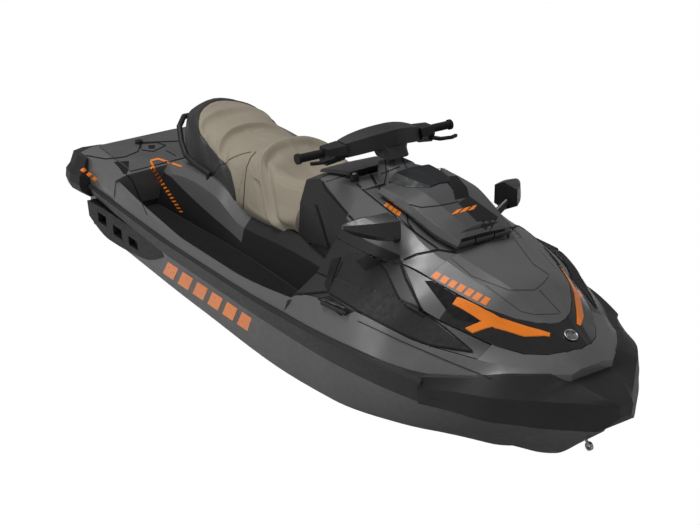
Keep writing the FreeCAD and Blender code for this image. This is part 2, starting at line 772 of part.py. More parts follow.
ACCENT_SHARES = (
    (27.4, 2.78), (28.6, 2.4), (29.1, 2.16), (30.0, 1.5), (30.6, 0.78),
    (30.5, 0.66), (29.9, 1.2), (29.05, 1.86), (28.55, 2.12), (27.4, 2.56),
)
ACCENT_BRANCH_SHARES = ((28.3, 2.88), (28.85, 2.1), (29.2, 1.95), (28.62, 2.78))
accent_room = shell_room(5, 11, 2, 0.0, size("accent_wall"), gap)
accent = None
for plan in (ACCENT_SHARES, ACCENT_BRANCH_SHARES):
    strip = prism([point(x, y, 0.0) for x, y in plan], BODY_FOOT_SHARE * LEVEL, LID_SHARES[0][2][0] * LEVEL)
    accent = strip if accent is None else accent.fuse(strip)
accent = largest(accent_room.common(accent).cut(nose_panel).cut(hood_room).cut(deck).cut(hood))
accent = accent.cut(cowl)
add("nose_accents", both_sides(largest(accent)))
BADGE_SHARES = (30.89, 0.0, 6.17)
BADGE_LEAN_SHARES = (0.42, 0.0, 0.9)
badge_spot = point(*BADGE_SHARES)
badge_way = Vector(*BADGE_LEAN_SHARES).normalize()
badge = rod(badge_spot - badge_way * size("badge_wall"), badge_spot + badge_way * size("badge_wall"),
            size("badge_radius"))
add("nose_badge", largest(badge.cut(nose_panel).cut(deck)))


# Console between the seat and the steering

CONSOLE_SHARES = (
    (16.3, (2.45, 2.35, 2.0, 1.2, 0.0), (6.0, 7.4, 8.4, 8.52, 8.55)),
    (18.0, (2.75, 2.6, 2.0, 1.2, 0.0), (6.0, 7.5, 8.9, 8.98, 9.0)),
    (20.4, (3.1, 3.0, 2.0, 1.2, 0.0), (6.0, 7.4, 9.15, 9.2, 9.2)),
)
console = loft([plain_section(station) for station in CONSOLE_SHARES])
console = console.cut(deck)
glove_low = Vector(size("glove_aft"), -size("glove_half_width"), size("glove_level"))
glove_well = box(
    glove_low,
    glove_low + Vector(size("glove_length"), 2 * size("glove_half_width"), size("level_gap") * 2),
)
console = console.cut(glove_well)
GLOVE_LID_SHARES = (
    (16.6, (1.45, 1.5, 1.4, 0.0), (8.72, 8.75, 8.86, 8.9)),
    (17.7, (1.5, 1.55, 1.45, 0.0), (9.0, 9.03, 9.17, 9.21)),
    (18.8, (1.45, 1.5, 1.4, 0.0), (9.18, 9.21, 9.35, 9.38)),
)
glove_lid = loft([plain_section(station) for station in GLOVE_LID_SHARES])
glove_lid, console = hinge(
    glove_lid, console, size("glove_hinge_x"), size("glove_hinge_level"),
    size("glove_hinge_foot"), size("glove_hinge_reach"),
)
add("console", console)
add("glove_box_lid", glove_lid)

# Storage bin and its lid in front of the steering

bin_wall = size("bin_wall")
bin_shell = box(bin_low, bin_high)
bin_shell = bin_shell.cut(box(bin_low + Vector(bin_wall, bin_wall, bin_wall),
                              bin_high - Vector(bin_wall, bin_wall, -OVER)))
add("storage_bin", bin_shell)

# Seat in two parts

SEAT_REAR_SHARES = (
    (4.75, (1.5, 1.75, 1.7, 0.8, 0.0), (5.7, 6.5, 8.1, 8.75, 8.8)),
    (5.5, (1.8, 2.1, 1.8, 1.1, 0.0), (5.6, 6.5, 8.35, 9.1, 9.2)),
    (6.7, (2.1, 2.35, 1.95, 1.3, 0.0), (5.5, 6.4, 8.3, 9.15, 9.3)),
    (8.0, (2.2, 2.45, 2.0, 1.3, 0.0), (5.4, 6.3, 7.9, 8.55, 8.5)),
    (9.0, (2.25, 2.5, 2.05, 1.3, 0.0), (5.35, 6.2, 7.9, 8.6, 8.6)),
    (10.2, (2.3, 2.55, 2.1, 1.35, 0.0), (5.3, 6.1, 7.7, 8.2, 8.15)),
    (11.47, (2.3, 2.6, 2.15, 1.4, 0.0), (5.25, 6.0, 7.85, 8.5, 8.5)),
)
SEAT_FRONT_SHARES = (
    (11.473, (2.3, 2.6, 2.15, 1.4, 0.0), (5.25, 6.0, 7.85, 8.5, 8.5)),
    (12.2, (2.3, 2.65, 2.2, 1.45, 0.0), (5.25, 5.95, 7.9, 8.6, 8.65)),
    (13.4, (2.3, 2.7, 2.15, 1.3, 0.0), (5.3, 5.9, 7.6, 8.3, 8.35)),
    (14.8, (2.3, 2.75, 2.0, 1.2, 0.0), (5.5, 6.1, 7.5, 8.1, 8.15)),
    (16.2, (2.3, 2.6, 1.8, 1.1, 0.0), (5.7, 6.5, 7.9, 8.5, 8.55)),
)


def seat_part(stations):
    sections = []
    for x, across, levels in stations:
        half = [point(x, 0.0, levels[0])] + [point(x, y, z) for y, z in zip(across, levels)]
        sections.append(mirrored(half))
    return loft(sections).cut(deck)


add("seat_rear", seat_part(SEAT_REAR_SHARES))
add("seat_front", seat_part(SEAT_FRONT_SHARES))

# Traction mats on the footwell floors and the stern platform

MAT_INSET_SHARE = 0.12
MAT_FORE_SHARE = 20.4
mat_sections = []
for x, across, levels in FOOTWELL_SHARES[:-1] + ((MAT_FORE_SHARE,) + FOOTWELL_SHARES[-1][1:],):
    x = max(x, FOOTWELL_SHARES[0][0] + MAT_INSET_SHARE)
    outer_y = across[6] - MAT_INSET_SHARE
    inner_y = across[7] + MAT_INSET_SHARE
    floor = levels[6]
    rise = UP * size("mat_wall")
    mat_sections.append([
        point(x, outer_y, floor), point(x, inner_y, floor),
        point(x, inner_y, floor) + rise, point(x, outer_y, floor) + rise,
    ])
add("footwell_mats", both_sides(loft(mat_sections)))

anchor_rings = anchor_rings.cut(deck)
add("rear_anchors", Part.makeCompound(anchor_rings.Solids))

STERN_MAT_SHARES = ((0.25, 4.3), (2.4, 4.5), (4.3, 4.55))
STERN_MAT_LEVEL_SHARES = (5.0, 7.0)


def stern_mat():
    plan = [point(x, y, 0.0) for x, y in STERN_MAT_SHARES]
    plan = plan + [Vector(p.x, -p.y, 0) for p in reversed(plan)]
    low_share, high_share = STERN_MAT_LEVEL_SHARES
    slab = prism(plan, low_share * LEVEL, high_share * LEVEL)
    lifted = stern.copy()
    lifted.translate(UP * size("mat_wall"))
    return lifted.common(slab).cut(stern).cut(deck).cut(anchors)


add("rear_deck_mat", sorted(stern_mat().Solids, key=lambda solid: solid.Volume)[-1])

# Grab handle behind the seat

HANDLE_SHARES = (
    (8.7, 2.6, 6.6), (7.6, 2.66, 6.72), (6.6, 2.66, 6.95), (5.9, 2.5, 7.4), (5.2, 2.2, 7.95), (4.6, 1.6, 8.2),
)
handle_spots = [point(*spot) for spot in HANDLE_SHARES]
handle_spots = handle_spots + [Vector(p.x, -p.y, p.z) for p in reversed(handle_spots)]
handle = None
for start, end in zip(handle_spots, handle_spots[1:]):
    run = rod(start, end, size("handle_radius"))
    ball = Part.makeSphere(size("handle_radius"), end)
    handle = run.fuse(ball) if handle is None else handle.fuse(run).fuse(ball)
for spot in (handle_spots[0], handle_spots[-1]):
    foot = Vector(spot.x, spot.y, spot.z - size("handle_post"))
    handle = handle.fuse(rod(spot, foot, size("handle_radius")))
handle = handle.cut(seat_part(SEAT_REAR_SHARES)).cut(deck)
handle = sorted(handle.Solids, key=lambda solid: solid.Volume)[-1]
add("grab_handle", handle)

# Rub rails and bumpers, cut to the hull and deck that carry them

RAIL_SHARES = (
    (0.3, (4.7, 5.2, 5.45, 5.35, 4.7), (3.8, 3.82, 4.3, 4.4, 4.4)),
    (6.0, (5.2, 5.7, 5.95, 5.85, 5.2), (3.8, 3.82, 4.5, 4.6, 4.6)),
    (12.0, (5.5, 6.0, 6.275, 6.18, 5.5), (3.8, 3.82, 4.62, 4.74, 4.74)),
    (18.0, (5.5, 6.0, 6.275, 6.18, 5.5), (3.8, 3.82, 4.66, 4.78, 4.78)),
    (22.5, (5.4, 5.9, 6.15, 6.05, 5.4), (3.8, 3.82, 4.74, 4.88, 4.88)),
    (26.0, (5.0, 5.5, 5.72, 5.62, 5.0), (3.8, 3.82, 4.8, 4.92, 4.92)),
    (28.4, (4.3, 4.9, 5.05, 4.95, 4.3), (3.75, 3.8, 4.7, 4.82, 4.82)),
)
rail_sections = []
for x, across, levels in RAIL_SHARES:
    rail_sections.append([point(x, y, z) for y, z in zip(across, levels)])
rail = loft(rail_sections).cut(hull).cut(deck)
rail_solid = sorted(rail.Solids, key=lambda solid: solid.Volume)[-1]
add("rub_rails", both_sides(rail_solid))

# Bumper stations: x, then y and z of the lower edge, the widest line and the top edge
BUMPER_SHARES = (
    (28.3, (5.05, 5.12, 4.95), (3.8, 4.45, 4.88)),
    (29.5, (4.5, 4.35, 3.9), (3.85, 4.6, 5.05)),
    (30.8, (3.85, 3.65, 2.85), (3.8, 4.7, 5.36)),
    (31.6, (3.05, 2.9, 1.8), (3.75, 4.72, 5.42)),
    (32.1, (2.55, 2.3, 0.9), (3.7, 4.7, 5.15)),
    (32.9, (1.6, 1.38, 0.7), (3.66, 4.68, 4.95)),
    (33.4, (1.0, 0.8, 0.55), (3.64, 4.65, 4.85)),
    (33.9, (0.3, 0.35, 0.3), (4.2, 4.6, 4.72)),
)
bumper_sections = []
for x, across, levels in BUMPER_SHARES:
    half = [point(x, 0.0, levels[0])]
    half = half + [point(x, y, z) for y, z in zip(across, levels)]
    half.append(point(x, 0.0, levels[2]))
    bumper_sections.append(mirrored(half))
bumper = loft(bumper_sections).cut(hull).cut(deck).cut(centre_panel(4, 11, 1, 0.0))
bumper = bumper.cut(both_sides(rail_solid))
bumper_solid = sorted(bumper.Solids, key=lambda solid: solid.Volume)[-1]
add("bow_bumper", bumper_solid)

# Pump housing with its stator, from its outlet flange to the tunnel's front wall

PUMP_FORE = "tunnel_length - pump_aft - seat_gap"
housing = body("pump_housing", "pump_aft", "pump_height")
wall_outline = [
    ("zero", "pump_bore"),
    (PUMP_FORE, "pump_bore"),
    (PUMP_FORE, "pump_bore + pump_wall + pump_flange_rise"),
    (PUMP_FORE + " - pump_flange_wall", "pump_bore + pump_wall + pump_flange_rise"),
    (PUMP_FORE + " - pump_flange_wall", "pump_bore + pump_wall"),
    ("pump_flange_wall", "pump_bore + pump_wall"),
    ("pump_flange_wall", "pump_bore + pump_wall + pump_flange_rise"),
    ("zero", "pump_bore + pump_wall + pump_flange_rise"),
]
revolve(housing, profile(housing, "XZ_Plane", [wall_outline]))
vane_outline = [
    ("zero", "shaft_radius + vane_wall"),
    ("vane_wall", "shaft_radius + vane_wall"),
    ("vane_wall", "pump_bore + vane_wall"),
    ("zero", "pump_bore + vane_wall"),
]
vane = pad(housing, profile(housing, "YZ_Plane", [vane_outline], "vane_wall"), "vane_length")
vanes = housing.newObject("PartDesign::PolarPattern", "stator_vanes")
vanes.Originals = [vane]
for axis in housing.Origin.OriginFeatures:
    if axis.Role == "X_Axis":
        vanes.Axis = (axis, [""])
vanes.Angle = 360
vanes.Occurrences = 6
housing.Tip = vanes
document.recompute()
hub_outline = [
    ("zero", "shaft_radius + running_gap"),
    ("hub_length", "shaft_radius + running_gap"),
    ("hub_length", "hub_radius"),
    ("zero", "hub_radius"),
]
revolve(housing, profile(housing, "XZ_Plane", [hub_outline]))

# Impeller with twisted blades, on the drive shaft

BLADE_SHARES = ((-0.1, 1.0, 1.0), (0.42, 1.35, 0.8), (1.0, 1.6, 0.5))
BLADE_LEAD_SHARE = 0.8
BLADE_REACH_SHARE = 0.42


def blade(turn):
    """One blade: shares of the way from hub to tip, of its lead and of its wall."""
    aft = size("impeller_aft")
    length = size("impeller_length")
    thick = size("blade_wall")
    sections = []
    hub = size("impeller_hub")
    for radius_share, lead_share, wall_share in BLADE_SHARES:
        r = hub + (size("impeller_radius") - hub) * radius_share
        angle = math.atan2(length * BLADE_LEAD_SHARE, r * lead_share)
        along = Vector(math.sin(angle), math.cos(angle), 0) * (length * BLADE_REACH_SHARE / math.sin(angle))
        across = Vector(math.cos(angle), -math.sin(angle), 0) * (thick * wall_share / 2)
        middle_point = Vector(aft + length / 2, 0, r)
        sections.append([
            middle_point - along - across,
            middle_point + along - across,
            middle_point + along + across,
            middle_point - along + across,
        ])
    shape = loft(sections)
    shape.rotate(Vector(0, 0, 0), FORWARD, turn)
    return shape


swept = Part.makeCylinder(
    size("impeller_radius"), size("impeller_length"),
    Vector(size("impeller_aft"), 0, 0), FORWARD,
)
rotor = Part.makeCylinder(
    size("impeller_hub"), size("impeller_length"),
    Vector(size("impeller_aft"), 0, 0), FORWARD,
)
BLADE_COUNT = 4
for index in range(BLADE_COUNT):
    rotor = rotor.fuse(blade(index * 360.0 / BLADE_COUNT).common(swept))
shaft = rod(
    Vector(size("pump_aft") + size("vane_wall"), 0, 0),
    Vector(size("engine_aft") - SEAT, 0, 0),
    size("shaft_radius"),
)
rotor = rotor.fuse(shaft).removeSplitter()
rotor.translate(UP * size("pump_height"))
add("impeller", rotor)

# Venturi with the pins of the nozzle and the pivots of the gate

throat = size("venturi_throat")
venturi_outline = [
    (size("venturi_aft"), throat),
    (size("venturi_aft") + size("throat_length"), throat),
    (size("pump_aft"), size("pump_bore")),
    (size("pump_aft"), size("pump_bore") + size("pump_wall") + size("pump_flange_rise")),
    (size("pump_aft") - size("pump_flange_wall"),
     size("pump_bore") + size("pump_wall") + size("pump_flange_rise")),
    (size("pump_aft") - size("pump_flange_wall"), size("pump_bore") + size("venturi_wall")),
    (size("venturi_aft") + size("throat_length"), throat + size("venturi_wall")),
    (size("venturi_aft"), throat + size("venturi_wall")),
]


def turned(points):
    face = Part.Face(outline([Vector(x, 0, r) for x, r in points]))
    return face.revolve(Vector(0, 0, 0), FORWARD, 360)


venturi = turned(venturi_outline)
pin_reach = size("nozzle_bell") + size("nozzle_wall")
bore_core = Part.makeCylinder(throat, size("pump_aft"), Vector(0, 0, 0), FORWARD)
for side in (1, -1):
    pin = rod(
        Vector(size("nozzle_pivot"), 0, side * throat),
        Vector(size("nozzle_pivot"), 0, side * pin_reach),
        size("nozzle_pin"),
    )
    boss_end = size("gate_half_width") - SEAT
    boss = rod(
        Vector(size("gate_pivot"), side * throat, 0),
        Vector(size("gate_pivot"), side * boss_end, 0),
        size("gate_pin") + size("venturi_wall"),
    )
    gate_pin = rod(
        Vector(size("gate_pivot"), side * throat, 0),
        Vector(size("gate_pivot"), side * (boss_end + size("gate_wall") * 1.5), 0),
        size("gate_pin"),
    )
    venturi = venturi.fuse(pin).fuse(boss).fuse(gate_pin)
inner_outline = [(x, r) for x, r in venturi_outline[:3]]
inner_outline = [(size("venturi_aft") - OVER, throat)] + inner_outline[1:] + [
    (size("pump_aft"), 0.0), (size("venturi_aft") - OVER, 0.0)]
venturi = venturi.cut(turned(inner_outline)).removeSplitter()
venturi.translate(UP * size("pump_height"))
add("venturi", venturi)

# Steering nozzle

nozzle_x = size("nozzle_pivot")
bell = size("nozzle_bell")
nozzle_wall = size("nozzle_wall")
nozzle = turned([
    (nozzle_x + size("nozzle_fore"), bell),
    (nozzle_x - size("nozzle_straight"), bell),
    (nozzle_x - size("nozzle_aft"), size("nozzle_tip")),
    (nozzle_x - size("nozzle_aft"), size("nozzle_tip") + nozzle_wall),
    (nozzle_x - size("nozzle_straight"), bell + nozzle_wall),
    (nozzle_x + size("nozzle_fore"), bell + nozzle_wall),
])
nozzle_hole = rod(
    Vector(nozzle_x, 0, -pin_reach - OVER),
    Vector(nozzle_x, 0, pin_reach + OVER),
    size("nozzle_pin") + size("running_gap"),
)
nozzle = nozzle.cut(nozzle_hole)
nozzle.translate(UP * size("pump_height"))
add("steering_nozzle", nozzle)

# Reverse gate: a curved bucket on two side arms, stowed above the jet

GATE_LOW_ANGLE = 20.0
GATE_HIGH_ANGLE = 62.0


def gate_point(radius, angle, y):
    turn = math.radians(angle)
    return Vector(size("gate_pivot") - radius * math.cos(turn), y, radius * math.sin(turn))


gate_inner = size("gate_radius")
gate_outer = gate_inner + size("gate_wall")
gate_edge = size("gate_half_width") + size("gate_wall")
middle_angle = (GATE_LOW_ANGLE + GATE_HIGH_ANGLE) / 2
bucket_wire = Part.Wire([
    Part.Arc(*[gate_point(gate_outer, a, -gate_edge)
               for a in (GATE_LOW_ANGLE, middle_angle, GATE_HIGH_ANGLE)]).toShape(),
    Part.LineSegment(gate_point(gate_outer, GATE_HIGH_ANGLE, -gate_edge),
                     gate_point(gate_inner, GATE_HIGH_ANGLE, -gate_edge)).toShape(),
    Part.Arc(*[gate_point(gate_inner, a, -gate_edge)
               for a in (GATE_HIGH_ANGLE, middle_angle, GATE_LOW_ANGLE)]).toShape(),
    Part.LineSegment(gate_point(gate_inner, GATE_LOW_ANGLE, -gate_edge),
                     gate_point(gate_outer, GATE_LOW_ANGLE, -gate_edge)).toShape(),
])
gate = Part.Face(bucket_wire).extrude(PORT * 2 * gate_edge)
boss_radius = size("gate_boss")
for side in (1, -1):
    start_y = side * size("gate_half_width")
    arm_points = [
        gate_point(boss_radius, middle_angle + 90, start_y),
        gate_point(gate_outer, GATE_HIGH_ANGLE, start_y),
        gate_point(gate_outer, middle_angle, start_y),
        gate_point(gate_outer, GATE_LOW_ANGLE, start_y),
        gate_point(boss_radius, middle_angle - 90, start_y),
    ]
    arm_wire = Part.Wire([
        Part.LineSegment(arm_points[0], arm_points[1]).toShape(),
        Part.Arc(arm_points[1], arm_points[2], arm_points[3]).toShape(),
        Part.LineSegment(arm_points[3], arm_points[4]).toShape(),
        Part.Arc(arm_points[4], gate_point(boss_radius, middle_angle + 180, start_y),
                 arm_points[0]).toShape(),
    ])
    arm = Part.Face(arm_wire).extrude(PORT * side * size("gate_wall"))
    gate = gate.fuse(arm)
gate_hole = rod(
    Vector(size("gate_pivot"), -gate_edge - OVER, 0),
    Vector(size("gate_pivot"), gate_edge + OVER, 0),
    size("gate_pin") + size("running_gap"),
)
gate = gate.cut(gate_hole).removeSplitter()
gate.translate(UP * size("pump_height"))
add("reverse_gate", gate)

# Ride plate and intake grate under the hull

plate = document.addObject("Part::Box", "ride_plate")
plate.setExpression("Length", bound("tunnel_length + plate_tail - seat_gap"))
plate.setExpression("Width", bound("tunnel_half_width + tunnel_half_width - plate_gap - plate_gap"))
plate.setExpression("Height", bound("plate_wall"))
place(plate, "zero - plate_tail", "plate_gap - tunnel_half_width", "plate_level")
keep(plate, "ride_plate")

grate = None
duct_room = duct()
GRATE_BARS = 3
for index in range(GRATE_BARS):
    middle_y = (index - (GRATE_BARS - 1) / 2) * size("grate_spacing")
    bar_box = box(
        Vector(size("tunnel_length"), middle_y - size("grate_bar") / 2, size("grate_level")),
        Vector(size("engine_aft"), middle_y + size("grate_bar") / 2,
               size("grate_level") + size("grate_depth")),
    ).common(duct_room)
    grate = bar_box if grate is None else grate.fuse(bar_box)
add("intake_grate", Part.makeCompound(grate.Solids))

# Engine as one block in its bay

engine = document.addObject("Part::Box", "engine_block")
engine.setExpression("Length", bound("engine_length"))
engine.setExpression("Width", bound("engine_width"))
engine.setExpression("Height", bound("engine_height"))
engine.setExpression("Placement.Base.y", "-<<sizes>>.engine_width / 2")
engine.setExpression("Placement.Base.x", bound("engine_aft"))
engine.setExpression("Placement.Base.z", bound("bay_level - draft"))
keep(engine, "engine_block")

# Steering: stem, bar, cover and grips

stem_foot = Vector(size("stem_x"), 0, size("stem_level"))
STEM_LEAN_SHARES = (-0.475, 0.0, 0.88)
stem_way = Vector(*STEM_LEAN_SHARES).normalize()

BOOT_SHARES = (
    (9.0, 19.75, 21.2, 0.9),
    (9.6, 19.6, 20.9, 0.75),
    (9.86, 19.48, 20.56, 0.62),
)
RING_CORNER_SHARE = 0.35


def ring_at(z, aft, fore, half):
    """A level outline with cut corners."""
    cut = half * RING_CORNER_SHARE
    reach = (fore - aft) * RING_CORNER_SHARE / 2
    half_points = [
        point(aft, 0.0, z), point(aft, half - cut, z), point(aft + reach, half, z),
        point(fore - reach, half, z), point(fore, half - cut, z), point(fore, 0.0, z),
    ]
    return mirrored(half_points)


boot = loft([ring_at(*station) for station in BOOT_SHARES])
stem_low = stem_foot - stem_way * size("stem_below")
stem_high = stem_foot + stem_way * size("stem_above")
stem = rod(stem_low, stem_high, size("stem_radius"))
stem_bore = rod(
    stem_low - stem_way * size("lid_gap"), stem_high, size("stem_radius") + size("running_gap"),
)
boot = boot.cut(console).cut(deck).cut(stem_bore)
boot = sorted(boot.Solids, key=lambda solid: solid.Volume)[-1]
add("steering_boot", boot)
add("steering_stem", stem)

HEAD_SHARES = (
    (10.12, 19.36, 20.34, 0.6),
    (10.35, 19.1, 20.2, 0.62),
    (10.7, 18.9, 20.0, 0.9),
)
head = loft([ring_at(*station) for station in HEAD_SHARES])
COVER_SHARES = (
    (1.9, 18.35, 19.25, 10.2, 10.78),
    (1.15, 18.5, 19.75, 10.42, 11.05),
    (0.0, 18.9, 20.2, 10.65, 11.3),
)
COVER_AFT_SLOPE_SHARE = 0.2
COVER_FORE_SLOPE_SHARE = 0.1
cover_sections = []
for y, aft, fore, low, high in COVER_SHARES:
    cover_sections.append([
        point(aft, y, low),
        point(fore, y, low),
        point(fore - COVER_FORE_SLOPE_SHARE, y, high),
        point(aft + COVER_AFT_SLOPE_SHARE, y, high),
    ])
cover_half = loft(cover_sections)
cover = cover_half.fuse(cover_half.mirror(Vector(0, 0, 0), PORT)).fuse(head).removeSplitter()
bar_start = Vector(size("bar_x"), -size("bar_half_width"), size("bar_level"))
bar_end = Vector(size("bar_x"), size("bar_half_width"), size("bar_level"))
bar = rod(bar_start, bar_end, size("bar_radius"))
cover = cover.cut(bar).cut(stem)
add("handlebar_cover", cover)
add("handlebar", bar)

grip_shapes = []
for side in (1, -1):
    inner = Vector(size("bar_x"), side * (size("bar_half_width") - size("grip_length")), size("bar_level"))
    outer = Vector(size("bar_x"), side * (size("bar_half_width") + SEAT), size("bar_level"))
    flange_end = outer - PORT * side * size("grip_flange_wall")
    tip = outer + PORT * side * size("grip_flange_wall") / 2
    grip = rod(inner, outer, size("grip_radius"))
    grip = grip.fuse(rod(flange_end, tip, size("grip_flange"))).cut(bar).removeSplitter()
    grip_shapes.append(grip)
add("grips", Part.makeCompound(grip_shapes))

# Switch pods inboard of the grips, with the throttle lever to starboard and the reverse lever to port

POD_SHARES = (
    (1.93, (18.35, 18.5, 19.3, 19.4, 19.1, 18.5), (10.3, 10.75, 10.75, 10.4, 10.08, 10.08)),
    (2.74, (18.4, 18.5, 19.1, 19.2, 19.0, 18.5), (10.2, 10.68, 10.68, 10.35, 9.95, 9.95)),
)
THROTTLE_SHARES = (
    (19.1, 2.4), (19.5, 2.65), (19.62, 3.3), (19.45, 3.8), (19.33, 3.78), (19.45, 3.3), (19.35, 2.78), (19.0, 2.6),
)
REVERSE_SHARES = (
    (19.1, 2.4), (19.6, 2.7), (19.72, 3.3), (19.6, 3.65), (19.48, 3.62), (19.58, 3.3), (19.45, 2.85), (19.0, 2.62),
)
pod_sections = []
for y, across, levels in POD_SHARES:
    pod_sections.append([point(x, y, z) for x, z in zip(across, levels)])
pod = loft(pod_sections)


def lever(plan, side, level):
    """A flat finger lever, at a level above the keel."""
    spots = [point(x, side * y, 0.0) for x, y in plan]
    return prism(spots, level - size("lever_radius"), level + size("lever_radius"))


reverse_lever = lever(REVERSE_SHARES, 1, size("reverse_lever_level"))
throttle_lever = lever(THROTTLE_SHARES, -1, size("throttle_lever_level"))
pods = both_sides(pod).cut(bar)
add("switch_pods", pods)
add("throttle_lever", largest(throttle_lever.cut(pods)))
add("reverse_lever", largest(reverse_lever.cut(pods)))

# Gauge under its hood, on the rear of the storage lid

GAUGE_SHARES = (
    (21.2, (1.1, 1.2, 0.85, 0.0), (9.3, 9.62, 9.92, 9.98)),
    (22.1, (1.1, 1.15, 0.8, 0.0), (9.3, 9.62, 9.9, 9.96)),
    (23.0, (0.7, 0.75, 0.45, 0.0), (9.3, 9.6, 9.78, 9.82)),
)
SCREEN_SHARES = ((0.95, 9.5), (0.95, 9.68), (0.7, 9.86), (0.0, 9.9))
gauge = loft([plain_section(station) for station in GAUGE_SHARES])
screen_half = [point(GAUGE_SHARES[0][0], y, z) for y, z in SCREEN_SHARES]
screen_face = Part.Face(outline(mirrored([point(GAUGE_SHARES[0][0], 0.0, SCREEN_SHARES[0][1])] + screen_half)))
screen_room = screen_face.extrude(FORWARD * size("screen_depth"))
gauge = largest(gauge.cut(screen_room).cut(storage_lid))
add("gauge_display", gauge)

# Folding cleats on the gunwales

CLEAT_SHARES = ((22.8, 5.58, 5.95), (24.2, 5.46, 6.0))
CLEAT_LEG_SHARES = (0.2, 0.8)
cleat_aft, cleat_fore = [point(*spot) for spot in CLEAT_SHARES]
cleat = rod(cleat_aft, cleat_fore, size("cleat_radius"))
for end in (cleat_aft, cleat_fore):
    cleat = cleat.fuse(Part.makeSphere(size("cleat_radius"), end))
for share in CLEAT_LEG_SHARES:
    end = cleat_aft + (cleat_fore - cleat_aft) * share
    cleat = cleat.fuse(rod(end, end - PORT * size("cleat_radius") * 4, size("cleat_radius")))
cleat = largest(cleat.cut(deck).cut(side_panel(0, 8, 1, 3, gap)))
add("deck_cleats", both_sides(cleat))

# Mirrors on the shroud panels

MIRROR_SHARES = (
    (2.95, (22.95, 22.95, 23.5, 24.35, 24.4, 23.6), (8.3, 9.1, 9.38, 9.3, 8.6, 8.18)),
    (3.45, (22.8, 22.8, 23.3, 23.95, 24.0, 23.4), (8.4, 9.1, 9.3, 9.2, 8.6, 8.3)),
    (4.05, (22.65, 22.65, 22.95, 23.3, 23.35, 23.0), (8.55, 9.02, 9.14, 9.05, 8.7, 8.48)),
    (4.5, (22.6, 22.6, 22.65, 22.72, 22.74, 22.68), (8.76, 8.9, 8.93, 8.9, 8.8, 8.74)),
)
MIRROR_GLASS_SHARES = ((3.1, 22.9, 8.42, 9.02), (3.5, 22.79, 8.48, 9.02), (4.0, 22.66, 8.62, 8.96))
MIRROR_STALK_SHARES = ((23.7, 3.1, 8.6), (23.6, 2.3, 8.0))
mirror_sections = []
for y, across, levels in MIRROR_SHARES:
    mirror_sections.append([point(x, y, z) for x, z in zip(across, levels)])
mirror = loft(mirror_sections)
glass_sections = []
for y, x, low, high in MIRROR_GLASS_SHARES:
    face_low = point(x, y, low)
    face_high = point(x, y, high)
    wall = FORWARD * size("glass_wall")
    glass_sections.append([face_low - wall, face_high - wall, face_high + wall * 3, face_low + wall * 3])
mirror_glass = loft(glass_sections)
stalk_top, stalk_foot = [point(*spot) for spot in MIRROR_STALK_SHARES]
mirror = mirror.fuse(rod(stalk_top, stalk_foot, size("mirror_stalk")))
mirror = mirror.cut(shroud).cut(deck)
mirror = sorted(mirror.Solids, key=lambda solid: solid.Volume)[-1]
add("mirrors", both_sides(mirror))
add("mirror_glass", both_sides(largest(mirror_glass.cut(mirror))))

# Stern: sponsons, eyes and deck anchors

SPONSON_SHARES = (
    (1.1, 2.7, 3.55), (3.3, 2.1, 3.7), (7.2, 2.4, 3.7), (9.3, 3.2, 3.72),
)
SPONSON_SIDE_SHARE = 5.55
sponson_sections = []
for x, low, high in SPONSON_SHARES:
    sponson_sections.append([
        point(x, 4.6, low), point(x, 5.55, low), point(x, 5.6, high), point(x, 4.6, high),
    ])
sponson = loft(sponson_sections).cut(hull).cut(rail_solid)
SPONSON_NOTCH_SHARES = ((2.25, 2.75, 3.3), (3.95, 2.6, 3.15), (5.65, 2.62, 3.1))
for x, low, high in SPONSON_NOTCH_SHARES:
    notch = box(
        point(x, SPONSON_SIDE_SHARE, low) - PORT * size("notch_depth"),
        point(x, SPONSON_SIDE_SHARE, high) + PORT * size("notch_depth") + FORWARD * size("notch_length"),
    )
    sponson = sponson.cut(notch)
sponson = sorted(sponson.Solids, key=lambda solid: solid.Volume)[-1]
add("sponsons", both_sides(sponson))


def eye(spot):
    """A round lug across the craft, with its bore."""
    half = PORT * size("eye_half_width")
    lug = rod(spot - half, spot + half, size("eye_bore") + size("eye_wall"))
    return lug, rod(spot - half * 2, spot + half * 2, size("eye_bore"))


bow_spot = Vector(size("bow_eye_x"), 0, size("bow_eye_level"))
bow_lug, bow_bore = eye(bow_spot)
bow_root = rod(bow_spot, bow_spot + (UP - FORWARD) * size("eye_wall") * 4, size("eye_half_width"))
bow_eye = bow_lug.fuse(bow_root).cut(bow_bore).cut(hull)
add("bow_eye", sorted(bow_eye.Solids, key=lambda solid: solid.Volume)[-1])
stern_spot = Vector(size("stern_eye_x"), size("stern_eye_y"), size("stern_eye_level"))
stern_lug, stern_bore = eye(stern_spot)
stern_root = rod(stern_spot, stern_spot + FORWARD * size("eye_wall") * 4, size("eye_half_width"))
stern_eye = stern_lug.fuse(stern_root).cut(stern_bore).cut(hull)
add("stern_eyes", both_sides(sorted(stern_eye.Solids, key=lambda solid: solid.Volume)[-1]))

STERN_BUMPER_SHARES = (
    (-0.3, 3.6), (-0.65, 4.3), (-0.8, 5.3), (-0.55, 5.95), (0.3, 6.12), (1.2, 6.0), (1.2, 4.9), (0.0, 3.6),
)
STERN_BUMPER_LEVEL_SHARES = ((3.7, 0.9), (4.1, 0.98), (4.5, 1.0), (4.95, 0.99), (5.2, 0.95), (5.78, 0.91))
bumper_rings = []
for level, reach in STERN_BUMPER_LEVEL_SHARES:
    bumper_rings.append(outline([point(x * reach, y * reach, level) for x, y in STERN_BUMPER_SHARES]))
corner = Part.makeLoft(bumper_rings, True, True)
corner = corner.cut(hull).cut(deck).cut(rail_solid)
add("stern_bumpers", both_sides(sorted(corner.Solids, key=lambda solid: solid.Volume)[-1]))
document.recompute()

# Write each piece after testing it

